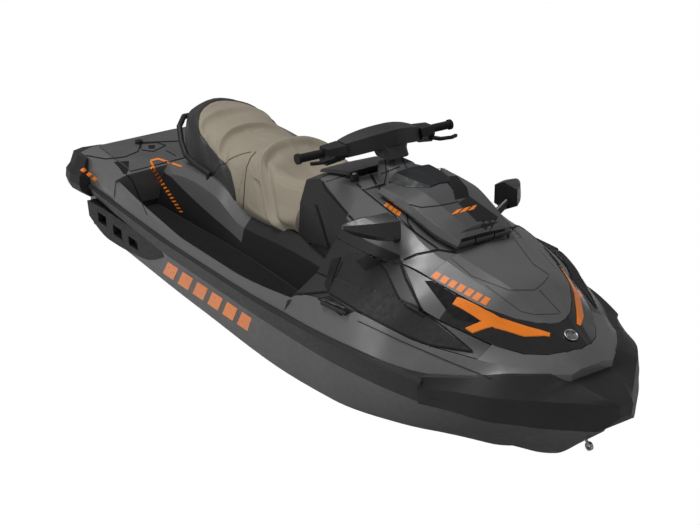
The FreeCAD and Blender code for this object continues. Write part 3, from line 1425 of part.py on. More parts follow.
for item in document.Objects:
    if "Invalid" in item.State or "Error" in item.State:
        raise RuntimeError("failed object: " + item.Name)
os.makedirs("parts", exist_ok=True)
for piece in pieces:
    shape = piece.Shape
    if shape.isNull() or not shape.isValid():
        raise RuntimeError("bad shape: " + piece.Label)
for piece in pieces:
    piece.Shape.exportStep(os.path.join("parts", piece.Label + ".step"))
    low = piece.Shape.BoundBox
    print(piece.Label, len(piece.Shape.Solids), round(piece.Shape.Volume / 1e6, 2),
          [round(v) for v in (low.XMin, low.XMax, low.YMin, low.YMax, low.ZMin, low.ZMax)])
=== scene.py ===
import json
import math

import bpy
from mathutils import Matrix, Vector
from mathutils.bvhtree import BVHTree


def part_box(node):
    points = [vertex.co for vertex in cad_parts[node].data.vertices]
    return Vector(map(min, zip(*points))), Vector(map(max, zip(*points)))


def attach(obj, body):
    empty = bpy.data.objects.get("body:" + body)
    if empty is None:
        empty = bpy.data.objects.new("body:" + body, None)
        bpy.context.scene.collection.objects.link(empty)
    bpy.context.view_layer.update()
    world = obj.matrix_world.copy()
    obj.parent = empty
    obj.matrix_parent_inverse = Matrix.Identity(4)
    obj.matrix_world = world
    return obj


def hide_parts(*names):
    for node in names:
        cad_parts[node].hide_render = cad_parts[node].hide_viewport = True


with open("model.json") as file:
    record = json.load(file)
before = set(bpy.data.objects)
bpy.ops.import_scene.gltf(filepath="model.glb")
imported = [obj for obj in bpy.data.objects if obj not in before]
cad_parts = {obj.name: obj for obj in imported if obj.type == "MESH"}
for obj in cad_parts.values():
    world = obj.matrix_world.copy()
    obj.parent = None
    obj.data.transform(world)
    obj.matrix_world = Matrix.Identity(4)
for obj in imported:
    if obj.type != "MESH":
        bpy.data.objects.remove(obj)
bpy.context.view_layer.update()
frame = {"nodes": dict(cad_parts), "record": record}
nodes = frame["nodes"]

# Levels in metres above the keel, as in the lines plan; the frame's origin is on the waterline.
DRAFT = 0.26
BODY = "craft"


# Materials


class Shader:
    """Small helper that builds a Principled material from node calls."""

    def __init__(self, name, color, roughness=0.5, metallic=0.0, coat=0.0, coat_roughness=0.05,
                 specular=0.5, sheen=0.0):
        self.material = bpy.data.materials.new(name)
        self.material.use_nodes = True
        self.tree = self.material.node_tree
        self.bsdf = self.tree.nodes["Principled BSDF"]
        self.color = (*color, 1.0)
        self.set("Base Color", self.color)
        self.set("Roughness", roughness)
        self.set("Metallic", metallic)
        self.set("Coat Weight", coat)
        self.set("Coat Roughness", coat_roughness)
        self.set("Specular IOR Level", specular)
        self.set("Sheen Weight", sheen)
        self.place = self.add("ShaderNodeTexCoord").outputs["Object"]
        self.height = None

    def set(self, socket, value):
        self.bsdf.inputs[socket].default_value = value

    def add(self, kind, **settings):
        node = self.tree.nodes.new(kind)
        for key, value in settings.items():
            setattr(node, key, value)
        return node

    def link(self, source, target):
        self.tree.links.new(source, target)

    def noise(self, scale, detail=3.0, rough=0.5, stretch=None):
        place = self.place
        if stretch:
            mapping = self.add("ShaderNodeMapping")
            mapping.inputs["Scale"].default_value = stretch
            self.link(place, mapping.inputs["Vector"])
            place = mapping.outputs["Vector"]
        node = self.add("ShaderNodeTexNoise")
        node.inputs["Scale"].default_value = scale
        node.inputs["Detail"].default_value = detail
        node.inputs["Roughness"].default_value = rough
        self.link(place, node.inputs["Vector"])
        return node.outputs["Fac"]

    def cells(self, scale, feature="F1"):
        node = self.add("ShaderNodeTexVoronoi", feature=feature)
        node.inputs["Scale"].default_value = scale
        self.link(self.place, node.inputs["Vector"])
        return node.outputs["Distance"]

    def ramp(self, source, low, high, start=0.3, end=0.7):
        node = self.add("ShaderNodeMapRange")
        node.inputs["From Min"].default_value = start
        node.inputs["From Max"].default_value = end
        node.inputs["To Min"].default_value = low
        node.inputs["To Max"].default_value = high
        self.link(source, node.inputs["Value"])
        return node.outputs["Result"]

    def sums(self, kind, first, second):
        """A math node between sockets or numbers."""
        node = self.add("ShaderNodeMath", operation=kind)
        for index, value in enumerate((first, second)):
            if isinstance(value, (int, float)):
                node.inputs[index].default_value = value
            else:
                self.link(value, node.inputs[index])
        return node.outputs[0]

    def axes(self):
        """Object x, distance from the centreline, and level above the keel."""
        split = self.add("ShaderNodeSeparateXYZ")
        self.link(self.place, split.inputs[0])
        side = self.sums("ABSOLUTE", split.outputs["Y"], 0.0)
        level = self.sums("ADD", split.outputs["Z"], DRAFT)
        return split.outputs["X"], side, level

    def above(self, source, edge, width=0.002):
        return self.ramp(source, 0.0, 1.0, edge - width / 2, edge + width / 2)

    def below(self, source, edge, width=0.002):
        return self.ramp(source, 1.0, 0.0, edge - width / 2, edge + width / 2)

    def attribute(self, name):
        return self.add("ShaderNodeAttribute", attribute_name=name).outputs["Fac"]

    def vary_color(self, source, other, start=0.3, end=0.7):
        mix = self.add("ShaderNodeMix", data_type="RGBA")
        mix.inputs["A"].default_value = self.color
        mix.inputs["B"].default_value = (*other, 1.0)
        previous = self.bsdf.inputs["Base Color"]
        if previous.is_linked:
            self.link(previous.links[0].from_socket, mix.inputs["A"])
        self.link(self.ramp(source, 0.0, 1.0, start, end), mix.inputs["Factor"])
        self.link(mix.outputs["Result"], previous)

    def vary_roughness(self, source, low, high):
        self.link(self.ramp(source, low, high), self.bsdf.inputs["Roughness"])

    def blend_value(self, socket, mask, value):
        """Another value of a socket where the mask is one."""
        target = self.bsdf.inputs[socket]
        mix = self.add("ShaderNodeMix", data_type="FLOAT")
        mix.inputs["A"].default_value = target.default_value
        mix.inputs["B"].default_value = value
        if target.is_linked:
            self.link(target.links[0].from_socket, mix.inputs["A"])
        self.link(mask, mix.inputs["Factor"])
        self.link(mix.outputs["Result"], target)

    def region(self, mask, color, roughness, coat=0.0, metallic=0.0):
        """A second finish where the mask is one."""
        self.vary_color(mask, color, 0.0, 1.0)
        self.blend_value("Roughness", mask, roughness)
        self.blend_value("Coat Weight", mask, coat)
        self.blend_value("Metallic", mask, metallic)

    def bump(self, source, strength, distance):
        node = self.add("ShaderNodeBump")
        node.inputs["Strength"].default_value = strength
        node.inputs["Distance"].default_value = distance
        self.link(source, node.inputs["Height"])
        if self.height:
            self.link(self.height, node.inputs["Normal"])
        self.height = node.outputs["Normal"]
        self.link(self.height, self.bsdf.inputs["Normal"])

    def soft_edges(self, radius):
        node = self.add("ShaderNodeBevel", samples=4)
        node.inputs["Radius"].default_value = radius
        self.height = node.outputs["Normal"]
        self.link(self.height, self.bsdf.inputs["Normal"])
        return self


def paint(name, color, roughness=0.4, coat=0.3, metallic=0.12):
    """Metallic coach paint: fine flakes, slow tone changes, a clear coat with slight waviness."""
    shader = Shader(name, color, roughness, metallic, coat, 0.2)
    shader.soft_edges(0.003)
    shader.vary_color(shader.noise(9.0, 2.0), tuple(c * 1.1 for c in color))
    shader.vary_color(shader.cells(900.0), tuple(c * 1.35 for c in color), 0.05, 0.6)
    shader.vary_roughness(shader.noise(30.0), roughness * 0.9, roughness * 1.15)
    shader.bump(shader.noise(55.0, 2.0), 0.05, 0.0006)
    return shader


def moulded(name, color, roughness, grain, depth=0.0004, specular=0.35):
    """Moulded plastic or rubber with a spark-eroded grain."""
    shader = Shader(name, color, roughness, specular=specular)
    shader.soft_edges(0.0025)
    shader.vary_color(shader.noise(7.0, 3.0), tuple(c * 1.3 for c in color))
    shader.vary_roughness(shader.noise(60.0), roughness * 0.88, min(1.0, roughness * 1.12))
    shader.bump(shader.cells(grain), 0.3, depth)
    return shader


def metal(name, color, roughness, stretch, grain, strength=0.2):
    shader = Shader(name, color, roughness, 1.0)
    shader.soft_edges(0.0015)
    streaks = shader.noise(grain, 4.0, 0.6, stretch)
    shader.vary_color(streaks, tuple(c * 0.8 for c in color))
    shader.vary_roughness(streaks, roughness * 0.75, min(1.0, roughness * 1.35))
    shader.bump(streaks, strength, 0.0004)
    return shader


def gloss(name, color, roughness=0.14, coat=0.8):
    shader = Shader(name, color, roughness, coat=coat, coat_roughness=0.04)
    shader.soft_edges(0.002)
    shader.vary_color(shader.noise(5.0), tuple(c * 1.2 for c in color))
    shader.vary_roughness(shader.noise(40.0), roughness * 0.8, roughness * 1.4)
    shader.bump(shader.noise(70.0, 2.0), 0.04, 0.0004)
    return shader


def leather(name, color):
    """Coated upholstery: pebbled grain, fine creases, slow shade changes and a soft sheen."""
    shader = Shader(name, color, 0.6, specular=0.32, sheen=0.08)
    shader.vary_color(shader.noise(4.0, 4.0), tuple(c * 0.9 for c in color))
    pebbles = shader.cells(420.0)
    shader.vary_color(pebbles, tuple(c * 0.85 for c in color), 0.45, 0.0)
    shader.vary_roughness(shader.noise(90.0), 0.54, 0.7)
    shader.bump(pebbles, 0.3, 0.0005)
    shader.bump(shader.noise(38.0, 5.0, 0.65), 0.12, 0.001)
    return shader


def ribbed(name, color, pitch):
    """Soft traction mat with lengthwise grooves."""
    shader = Shader(name, color, 0.85, specular=0.2)
    wave = shader.add("ShaderNodeTexWave", bands_direction="Y", wave_profile="SIN")
    wave.inputs["Scale"].default_value = 2 * math.pi / pitch / 20.0
    shader.link(shader.place, wave.inputs["Vector"])
    shader.vary_color(shader.noise(14.0, 4.0), tuple(c * 1.35 for c in color))
    shader.vary_roughness(shader.noise(80.0), 0.78, 0.95)
    shader.bump(shader.cells(700.0), 0.4, 0.0004)
    shader.bump(wave.outputs["Fac"], 0.5, 0.002)
    return shader


GREY = (0.098, 0.098, 0.1)
DARK_GREY = (0.052, 0.052, 0.054)
CHARCOAL = (0.016, 0.016, 0.017)
ORANGE = (0.95, 0.235, 0.012)
TAUPE = (0.328, 0.286, 0.219)

SHADERS = {
    "hull_paint": paint("hull_paint", (0.05, 0.05, 0.052), 0.4, 0.25, 0.05),
    "deck_paint": paint("deck_paint", GREY),
    "dark_paint": paint("dark_paint", DARK_GREY, 0.38, 0.35),
    "black_gloss": gloss("black_gloss", (0.012, 0.012, 0.0125), 0.2, 0.6),
    "orange_paint": gloss("orange_paint", ORANGE, 0.3, 0.3),
    "dark_plastic": moulded("dark_plastic", (0.024, 0.024, 0.0245), 0.46, 900.0),
    "black_plastic": moulded("black_plastic", (0.013, 0.013, 0.0135), 0.55, 800.0),
    "bumper": moulded("bumper", (0.019, 0.019, 0.0195), 0.5, 650.0, 0.0005),
    "seat_cover": leather("seat_cover", TAUPE),
    "mat": ribbed("mat", (0.01, 0.01, 0.01), 0.012),
    "grip_rubber": moulded("grip_rubber", (0.011, 0.011, 0.011), 0.75, 500.0, 0.0006),
    "pump_metal": metal("pump_metal", (0.5, 0.5, 0.51), 0.4, (1.0, 1.0, 1.0), 120.0, 0.3),
    "impeller_steel": metal("impeller_steel", (0.58, 0.58, 0.59), 0.25, (1.0, 20.0, 20.0), 30.0),
    "engine_metal": metal("engine_metal", (0.12, 0.12, 0.12), 0.6, (1.0, 1.0, 1.0), 90.0, 0.4),
    "bar_metal": moulded("bar_metal", (0.02, 0.02, 0.02), 0.45, 1200.0, 0.0002),
    "display_glass": gloss("display_glass", (0.01, 0.01, 0.011), 0.1),
    "mirror_face": metal("mirror_face", (0.8, 0.81, 0.82), 0.04, (1.0, 1.0, 1.0), 10.0, 0.01),
    "badge_metal": metal("badge_metal", (0.5, 0.5, 0.51), 0.3, (1.0, 1.0, 8.0), 60.0),
}


# Deck moulding: grey outside, dark inside the footwells, and dark on the flank ahead of the seat


FOOTWELL_AFT = 0.452
FOOTWELL_FORE = 2.064
FOOTWELL_SIDE = 0.571
FOOTWELL_WIDEST = 1.4
FOOTWELL_CURVE = 0.22
DARK_LINE_START = 0.56
DARK_LINE_SLOPE = 0.186
DARK_LINE_LEVEL = 0.556
DARK_FLANK_START = 1.22
OUTER_WALL = 0.4


def footwell_mask(shader):
    """One inside a footwell, up to the sloping line where the pedestal turns grey."""
    along, side, level = shader.axes()
    ends = shader.sums("MULTIPLY", shader.above(along, FOOTWELL_AFT), shader.below(along, FOOTWELL_FORE))
    bow = shader.sums("MULTIPLY", shader.sums("SUBTRACT", along, FOOTWELL_WIDEST), FOOTWELL_CURVE)
    bow = shader.sums("MULTIPLY", bow, bow)
    width = shader.sums("ADD", side, bow)
    inside = shader.below(width, FOOTWELL_SIDE)
    drop = shader.sums("MAXIMUM", shader.sums("SUBTRACT", along, DARK_LINE_START), 0.0)
    drop = shader.sums("MULTIPLY", drop, DARK_LINE_SLOPE)
    low = shader.below(shader.sums("ADD", level, drop), DARK_LINE_LEVEL)
    fore = shader.above(along, DARK_FLANK_START)
    outer = shader.above(side, OUTER_WALL)
    low = shader.sums("MAXIMUM", shader.sums("MAXIMUM", low, fore), outer)
    return shader.sums("MULTIPLY", shader.sums("MULTIPLY", ends, inside), low)


FLANK_START = 1.765
FLANK_SLOPE = -0.2
FLANK_LEVEL = 0.872
FLANK_LOWEST = 0.782
COWL_EDGE = 3.99
COWL_SLOPE = 0.5
FLANK_AFT = 1.7


def flank_mask(shader):
    """Below the grey panels beside the steering, back from the cowl's slanted edge."""
    along, side, level = shader.axes()
    slope = shader.sums("MULTIPLY", shader.sums("SUBTRACT", along, FLANK_START), FLANK_SLOPE)
    line = shader.sums("MAXIMUM", shader.sums("ADD", slope, FLANK_LEVEL), FLANK_LOWEST)
    cut = shader.sums("MULTIPLY", shader.sums("SUBTRACT", COWL_EDGE, along), COWL_SLOPE)
    line = shader.sums("MINIMUM", line, cut)
    depth = shader.sums("SUBTRACT", line, level)
    aft = shader.below(along, FLANK_AFT)
    return shader.sums("MAXIMUM", shader.above(depth, 0.0), aft)


def two_tone(name, color, mask_maker, other=CHARCOAL, roughness=0.42):
    shader = paint(name, color)
    shader.region(mask_maker(shader), other, roughness, 0.1)
    return shader.material


VARIANTS = {
    "deck": two_tone("deck_two_tone", GREY, footwell_mask, (0.013, 0.013, 0.0135), 0.5),
    "console": two_tone("console_two_tone", (0.095, 0.095, 0.098), flank_mask),
    "side_cowls": two_tone("cowl_two_tone", GREY, flank_mask),
    "shroud_panels": two_tone("shroud_two_tone", (0.1, 0.1, 0.103), flank_mask),
    "side_fairings": two_tone("fairing_two_tone", (0.02, 0.02, 0.021), flank_mask, (0.014, 0.014, 0.015)),
    "rear_deck_mat": moulded("stern_mat", (0.075, 0.075, 0.076), 0.55, 500.0, 0.0006).material,
    "mirrors": gloss("mirror_shell", (0.016, 0.016, 0.0165), 0.38, 0.2).material,
    "gauge_display": gloss("gauge_glass", (0.006, 0.007, 0.009), 0.5, 0.0).material,
    "steering_boot": paint("boot_grey", (0.085, 0.085, 0.088)).material,
    "storage_lid": paint("lid_grey", (0.062, 0.062, 0.064)).material,
    "steering_stem": SHADERS["bar_metal"].material,
}

for part in frame["record"]["subparts"]:
    node = nodes[part["node"]]
    node.data.materials.clear()
    material = VARIANTS.get(part["node"]) or SHADERS[part["material_slot"]].material
    node.data.materials.append(material)

# Camera at the photograph's angle

PHOTO_WIDTH = 700
PHOTO_HEIGHT = 525
CAMERA_SPOT = Vector((6.4390, -3.3131, 2.6585))
CAMERA_YAW = 145.216
CAMERA_PITCH = -23.330
CAMERA_ROLL = -0.315
LENS = 72.355
SENSOR = 36.0

camera_data = bpy.data.cameras.new("camera")
camera_data.lens = LENS
camera_data.sensor_width = SENSOR
camera = bpy.data.objects.new("camera", camera_data)
bpy.context.scene.collection.objects.link(camera)
yaw = math.radians(CAMERA_YAW)
pitch = math.radians(CAMERA_PITCH)
forward = Vector((math.cos(pitch) * math.cos(yaw), math.cos(pitch) * math.sin(yaw), math.sin(pitch)))
level_right = forward.cross(Vector((0, 0, 1))).normalized()
level_up = level_right.cross(forward)
roll = math.radians(CAMERA_ROLL)
right = level_right * math.cos(roll) + level_up * math.sin(roll)
up = level_up * math.cos(roll) - level_right * math.sin(roll)
turn = Matrix((right, up, -forward)).transposed().to_4x4()
camera.matrix_world = Matrix.Translation(CAMERA_SPOT) @ turn
bpy.context.scene.camera = camera


def photo_way(pixel):
    """Direction from the camera through a pixel of the photograph."""
    focal = LENS / SENSOR * PHOTO_WIDTH
    across = (pixel[0] - PHOTO_WIDTH / 2) / focal
    down = (pixel[1] - PHOTO_HEIGHT / 2) / focal
    return (forward + right * across - up * down).normalized()


# Pieces laid on the surfaces


def mesh_piece(name, corners, faces, material, body=BODY, smooth=True):
    mesh = bpy.data.meshes.new(name)
    mesh.from_pydata([tuple(corner) for corner in corners], [], faces)
    mesh.update()
    for polygon in mesh.polygons:
        polygon.use_smooth = smooth
    mesh.materials.append(material)
    piece = bpy.data.objects.new(name, mesh)
    bpy.context.scene.collection.objects.link(piece)
    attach(piece, body)
    return piece


def surface_tree(names):
    corners = []
    faces = []
    for name in names:
        mesh = nodes[name].data
        base = len(corners)
        corners.extend(vertex.co.copy() for vertex in mesh.vertices)
        faces.extend([base + index for index in polygon.vertices] for polygon in mesh.polygons)
    return BVHTree.FromPolygons(corners, faces)


SEAT_TREE = surface_tree(("seat_front", "seat_rear"))


class Skin:
    """The outer surface of some nodes, for pieces that lie on it, where the seat doesn't hide it."""

    def __init__(self, *names):
        self.tree = surface_tree(names)

    def hit(self, pixel, lift):
        way = photo_way(pixel)
        spot, normal, _, far = self.tree.ray_cast(CAMERA_SPOT, way)
        if spot is None:
            return None
        seat_far = SEAT_TREE.ray_cast(CAMERA_SPOT, way)[3]
        if seat_far is not None and seat_far < far:
            return None
        if normal.dot(CAMERA_SPOT - spot) < 0:
            normal = -normal
        return spot + normal * lift, normal


def between(first, second, share):
    return tuple(a + (b - a) * share for a, b in zip(first, second))


def quad_grid(corners, across, down):
    """Pixels over a four-cornered field: rows from top to bottom."""
    top_left, top_right, bottom_right, bottom_left = corners
    rows = []
    for row in range(down + 1):
        left = between(top_left, bottom_left, row / down)
        end = between(top_right, bottom_right, row / down)
        rows.append([between(left, end, column / across) for column in range(across + 1)])
    return rows


PIT_REACH = 3
PIT_DEPTH = 0.001
LIFT = 0.0012


def fill_pits(rows, down, across):
    """Lets a patch cross a narrow gap in the surface without dipping into it."""
    far = [[(spot - CAMERA_SPOT).length for spot in row] for row in rows]
    for r in range(PIT_REACH, down + 1 - PIT_REACH):
        for c in range(across + 1):
            above = far[r - PIT_REACH][c]
            below = far[r + PIT_REACH][c]
            if far[r][c] > max(above, below) + PIT_DEPTH:
                rows[r][c] = (rows[r - PIT_REACH][c] + rows[r + PIT_REACH][c]) / 2


def laid_patch(corners, faces, skin, field, across, down, lift, both_sides=True):
    """Adds a thin patch on the skin to the lists, and its mirror image on the port side."""
    rows = []
    for row in quad_grid(field, across, down):
        hits = [skin.hit(pixel, lift) for pixel in row]
        if any(hit is None for hit in hits):
            return
        rows.append([hit[0] for hit in hits])
    fill_pits(rows, down, across)
    for side in ((1, -1) if both_sides else (1,)):
        base = len(corners)
        for row in rows:
            corners.extend(Vector((spot.x, spot.y * side, spot.z)) for spot in row)
        width = across + 1
        for row in range(down):
            for column in range(across):
                first = base + row * width + column
                face = [first, first + width, first + width + 1, first + 1]
                faces.append(face if side > 0 else list(reversed(face)))


cowl_skin = Skin("side_cowls", "nose_panel", "deck", "side_fairings")


def laid_piece(name, skin, fields, material, body=BODY, across=6, down=3, lift=LIFT, both_sides=True):
    """One piece of thin patches that lie on a skin."""
    corners = []
    faces = []
    for field in fields:
        laid_patch(corners, faces, skin, field, across, down, lift, both_sides)
    return mesh_piece(name, corners, faces, material, body)


def bars(field, count, fill=0.62, slant=0.35):
    """Plain slanted bars in a row across a field, in place of lettering."""
    top_left, top_right, bottom_right, bottom_left = field
    fields = []
    for index in range(count):
        start = index / count
        end = start + fill / count
        lean = slant / count
        fields.append((
            between(top_left, top_right, start + lean), between(top_left, top_right, min(1.0, end + lean)),
            between(bottom_left, bottom_right, end), between(bottom_left, bottom_right, start),
        ))
    return fields


def line_fields(pixels, width):
    """Thin fields along a line of pixels, as wide as given in pixels."""
    fields = []
    for first, second in zip(pixels, pixels[1:]):
        run = Vector((second[0] - first[0], second[1] - first[1]))
        across = Vector((-run.y, run.x)).normalized() * (width / 2)
        fields.append((
            (first[0] - across.x, first[1] - across.y), (second[0] - across.x, second[1] - across.y),
            (second[0] + across.x, second[1] + across.y), (first[0] + across.x, first[1] + across.y),
        ))
    return fields


orange = SHADERS["orange_paint"].material
black = SHADERS["black_plastic"].material
# Near-black of the panel joints; the same material is laid on the lid as painted shade and shadow.
seam_black_and_painted_shade = moulded("seam_black_and_painted_shade", (0.004, 0.004, 0.004), 0.8, 400.0).material

outer_skin = Skin("hull", "deck", "side_cowls", "side_fairings", "hood", "nose_panel", "shroud_panels",
                  "console", "sponsons", "rub_rails", "bow_bumper", "stern_bumpers", "nose_accents")
stern_skin = Skin("deck", "rear_deck_mat", "hull", "stern_bumpers")
lid_skin = Skin("storage_lid")
boot_skin = Skin("steering_boot")
console_skin = Skin("console", "shroud_panels", "deck", "side_fairings")

HULL_BAR_PIXELS = ((163, 258), (252, 318), (252, 334), (163, 273))
COWL_BAR_PIXELS = ((433, 270), (491, 299), (488, 307), (431, 277))
LID_BAR_PIXELS = ((453, 211), (477, 205), (476, 209), (451, 215))
STERN_BAR_PIXELS = ((82, 166), (98, 179), (97, 183), (80, 170))
SHROUD_BAR_PIXELS = ((386, 202.5), (402, 213), (400, 217), (383.5, 206.5))
FOOT_BAR_PIXELS = ((152, 164), (184, 213), (181, 214), (150, 168))
laid_piece("hull_bars", outer_skin, bars(HULL_BAR_PIXELS, 6, 0.7), orange)
laid_piece("cowl_bars", outer_skin, bars(COWL_BAR_PIXELS, 7, 0.72), orange, both_sides=False)
laid_piece("stern_bars", stern_skin, bars(STERN_BAR_PIXELS, 3), orange)
laid_piece("shroud_label", outer_skin, bars(SHROUD_BAR_PIXELS, 4, 0.8, 0.1), orange)
laid_piece("foot_bars", stern_skin, bars(FOOT_BAR_PIXELS, 14, 0.45), orange, lift=0.002)
laid_piece("lid_bars", lid_skin, bars(LID_BAR_PIXELS, 3, 0.7, 0.5), orange, "front_lid", both_sides=False)
FOOT_STRIPE_PIXELS = ((182, 166.5), (158, 159), (150.5, 161), (155, 170))
laid_piece("foot_stripe", stern_skin, line_fields(FOOT_STRIPE_PIXELS, 1.8), orange, across=8, down=1,
           lift=0.002)

# Panel seams, dark inserts, and painted shade, shadow and highlights: lines of pixels, each with its width in
# pixels


def strokes(name, skin, lines, material, body=BODY, both_sides=True, lift=LIFT):
    """One piece of thin lines that lie on a skin."""
    fields = [field for width, line in lines for field in line_fields(line, width)]
    laid_piece(name, skin, fields, material, body, 20, 1, lift, both_sides)


STERN_SEAM_PIXELS = (
    (1.1, ((86, 155.6), (106, 159), (125, 157), (138, 151.6), (141, 142.6), (184, 141))),
    (1.0, ((140.4, 149), (141.6, 143.6), (156.9, 142.6), (165.9, 145.5), (153.1, 151.6), (141.6, 150))),
    (0.8, ((166, 150.5), (176, 156), (189, 158))),
    (0.8, ((114, 162), (132, 180), (147, 215))),
)
STERN_DARK_PIXELS = (
    ((115, 162), (129, 161), (128.5, 170), (125.5, 177)),
    ((148, 145.5), (155, 145), (155, 148.4), (149, 149)),
)
strokes("stern_seams", stern_skin, STERN_SEAM_PIXELS, seam_black_and_painted_shade)
laid_piece("stern_recesses", stern_skin, STERN_DARK_PIXELS, seam_black_and_painted_shade, across=8, down=6, lift=0.0009)

FAIRING_PANEL_PIXELS = (
    ((347.3, 251.8), (375, 256), (345, 303), (328.4, 291.8)),
    ((375, 256), (402, 261), (368, 316.5), (345, 303)),
    ((402, 261), (417.5, 298), (392, 329), (368, 316.5)),
    ((417.5, 298), (424.5, 315), (410, 337.5), (392, 329)),
    ((424.5, 315), (448, 332.7), (430, 346.5), (410, 337.5)),
    ((448, 332.7), (472.8, 351.4), (452, 349), (430, 346.5)),
)
# Matte dark finish of the side fairings; the same material is laid on the lid as painted shade.
fairing_matte_and_painted_shade = moulded("fairing_matte_and_painted_shade", (0.0135, 0.0135, 0.014), 0.62, 500.0, 0.0006, 0.3).material
laid_piece("fairing_panels", outer_skin, FAIRING_PANEL_PIXELS, fairing_matte_and_painted_shade, across=26, down=26, lift=0.0022)
FAIRING_RECESS_PIXELS = (
    ((356, 261.5), (371, 254), (381, 263), (366, 271.5)),
    ((332, 260), (341.5, 257), (328.6, 291), (324.5, 286)),
)
laid_piece("fairing_recesses", outer_skin, FAIRING_RECESS_PIXELS, seam_black_and_painted_shade, across=12, down=8, lift=0.0032)
PILLAR_PIXELS = (
    ((378, 262), (402, 261), (412, 288), (393, 284)),
    ((393, 284), (412, 288), (422, 313), (402, 303)),
)
pillar_satin = moulded("pillar_satin", (0.022, 0.022, 0.023), 0.4, 500.0, 0.0004).material
laid_piece("fairing_pillars", outer_skin, PILLAR_PIXELS, pillar_satin, across=16, down=16, lift=0.0028)

PANEL_SEAM_PIXELS = (
    (2.2, ((378.7, 262), (386, 271), (399, 298), (407, 307), (424, 317))),
    (1.6, ((284, 294.6), (304, 294), (327.5, 291.8))),
    (1.6, ((356.5, 184.3), (389.7, 211), (415.2, 232.8), (438.2, 249.3))),
    (1.4, ((406.3, 208), (407.6, 222.6), (415.2, 232.8))),
    (1.4, ((404, 260), (416.5, 254.4), (438.2, 250), (456, 253))),
    (2.6, ((400, 261), (406, 279), (420, 307), (426, 316))),
    (1.6, ((329, 293), (364, 314.6), (400, 333), (429, 345), (472.7, 352))),
    (1.3, ((416.8, 299.3), (420, 310), (446, 328.4), (472.7, 351.3))),
    (0.8, ((358, 321), (400, 340.6), (446, 360.5), (491.8, 379))),
    (2.4, ((315, 206), (285, 231), (309, 243.5), (328, 248))),
    (1.6, ((316, 205), (322, 224), (329, 248))),
    (1.2, ((343, 262), (336, 277), (328, 292))),
)
strokes("panel_seams", outer_skin, PANEL_SEAM_PIXELS, seam_black_and_painted_shade, lift=0.0036)
CONSOLE_SEAM_AND_SHADOW_PIXELS = (
    (2.4, ((322, 173), (322.7, 181.7), (325.9, 189.4), (356.5, 223.8))),
    (0.8, ((326, 181.8), (343, 176.4), (349, 173))),
    # The next line, under the lid's edge, is painted shadow that the lid's edge casts there.
    (2.6, ((369.3, 172), (376, 184), (389.7, 200.9), (402.4, 207.2))),
)
strokes("console_seams_and_lid_shadow", console_skin, CONSOLE_SEAM_AND_SHADOW_PIXELS, seam_black_and_painted_shade, lift=0.0006)
# Grey lines along the creases of the hood and nose, on one side only: painted shading where their facets
# meet.
HOOD_CREASE_SHADING_PIXELS = (
    (0.8, ((450.5, 258), (472, 276.3), (508.7, 290.1), (534.7, 290.1), (543.9, 282.5), (548.5, 276.3))),
    (0.7, ((485.7, 285.5), (520.9, 311.5), (534.7, 314.6), (559.2, 313.8))),
    (0.7, ((539.3, 290.1), (560.7, 313.1))),
    (0.7, ((514.8, 239.6), (533.2, 264.1), (549.2, 274.8))),
)
crease_painted_shading = moulded("crease_painted_shading", (0.03, 0.03, 0.031), 0.5, 400.0).material
strokes("hood_crease_shading", outer_skin, HOOD_CREASE_SHADING_PIXELS, crease_painted_shading, both_sides=False, lift=0.0005)
# A thin light metal strip along the hood's port edge: a painted highlight standing for the bright reflection
# along that edge.
HOOD_EDGE_HIGHLIGHT_PIXELS = ((1.0, ((519.4, 226.5), (540, 249), (556, 268))),)
strokes("hood_edge_highlight", outer_skin, HOOD_EDGE_HIGHLIGHT_PIXELS, SHADERS["badge_metal"].material, both_sides=False)

COWL_INSERT_PIXELS = (
    ((424.5, 281), (438, 280.5), (457, 295), (452, 317.5)),
    ((452, 317.5), (457, 295), (491, 319), (494, 328)),
)
laid_piece("cowl_insert", cowl_skin, COWL_INSERT_PIXELS, seam_black_and_painted_shade, across=14, down=8, lift=0.0008)

LID_FRONT_PIXELS = (
    ((461, 239), (484, 232.5), (484, 236.5), (461, 242.5)),
    ((484, 232.5), (505, 228.5), (505, 231), (484, 236.5)),
)
laid_piece("lid_front_recess", lid_skin, LID_FRONT_PIXELS, seam_black_and_painted_shade, "front_lid", 40, 12,
           0.0004, both_sides=False)
# Near-black patches on the lid's port facets, on that side only: painted shade of the facets that face away
# from the light.
LID_PORT_SHADE_PIXELS = (
    ((442, 177), (457, 176), (467, 187.6), (453, 190)),
    ((453, 190), (467, 187.6), (469, 196.7), (455, 199.8)),
)
laid_piece("lid_port_painted_shade", lid_skin, LID_PORT_SHADE_PIXELS, seam_black_and_painted_shade, "front_lid", 40, 24,
           both_sides=False)
# A matte dark quad on the lid's port side: painted shade of the facet that faces away from the light.
LID_PAINTED_SHADE_PIXELS = ((458, 203), (469, 196), (498, 217), (489, 233.5))
laid_piece("lid_painted_shade", lid_skin, [LID_PAINTED_SHADE_PIXELS], fairing_matte_and_painted_shade, "front_lid", 12, 8,
           0.0008, both_sides=False)
LID_SEAM_PIXELS = (
    (0.9, ((409.2, 204.4), (421.4, 207.5), (436.7, 206), (453.6, 202.9), (458.2, 201.3))),
    (1.2, ((482.7, 196.7), (498, 207.5), (507, 226))),
)
strokes("lid_seams", lid_skin, LID_SEAM_PIXELS, seam_black_and_painted_shade, "front_lid", False)

BOOT_SEAM_PIXELS = (
    (1.0, ((375, 180), (381, 174), (400, 166.6), (417, 164))),
    (1.0, ((385, 160), (386.6, 174), (384, 186))),
    (0.9, ((401, 157), (409, 172))),
)
strokes("boot_seams", boot_skin, BOOT_SEAM_PIXELS, seam_black_and_painted_shade, both_sides=False)

CLEAT_PLATE_PIXELS = ((317, 298.5), (330, 296), (354, 312), (341, 316))
laid_piece("cleat_plate", outer_skin, [CLEAT_PLATE_PIXELS], seam_black_and_painted_shade, across=8, down=4, lift=0.0009)


# Seat cushions: modelled skins with the seams drawn in

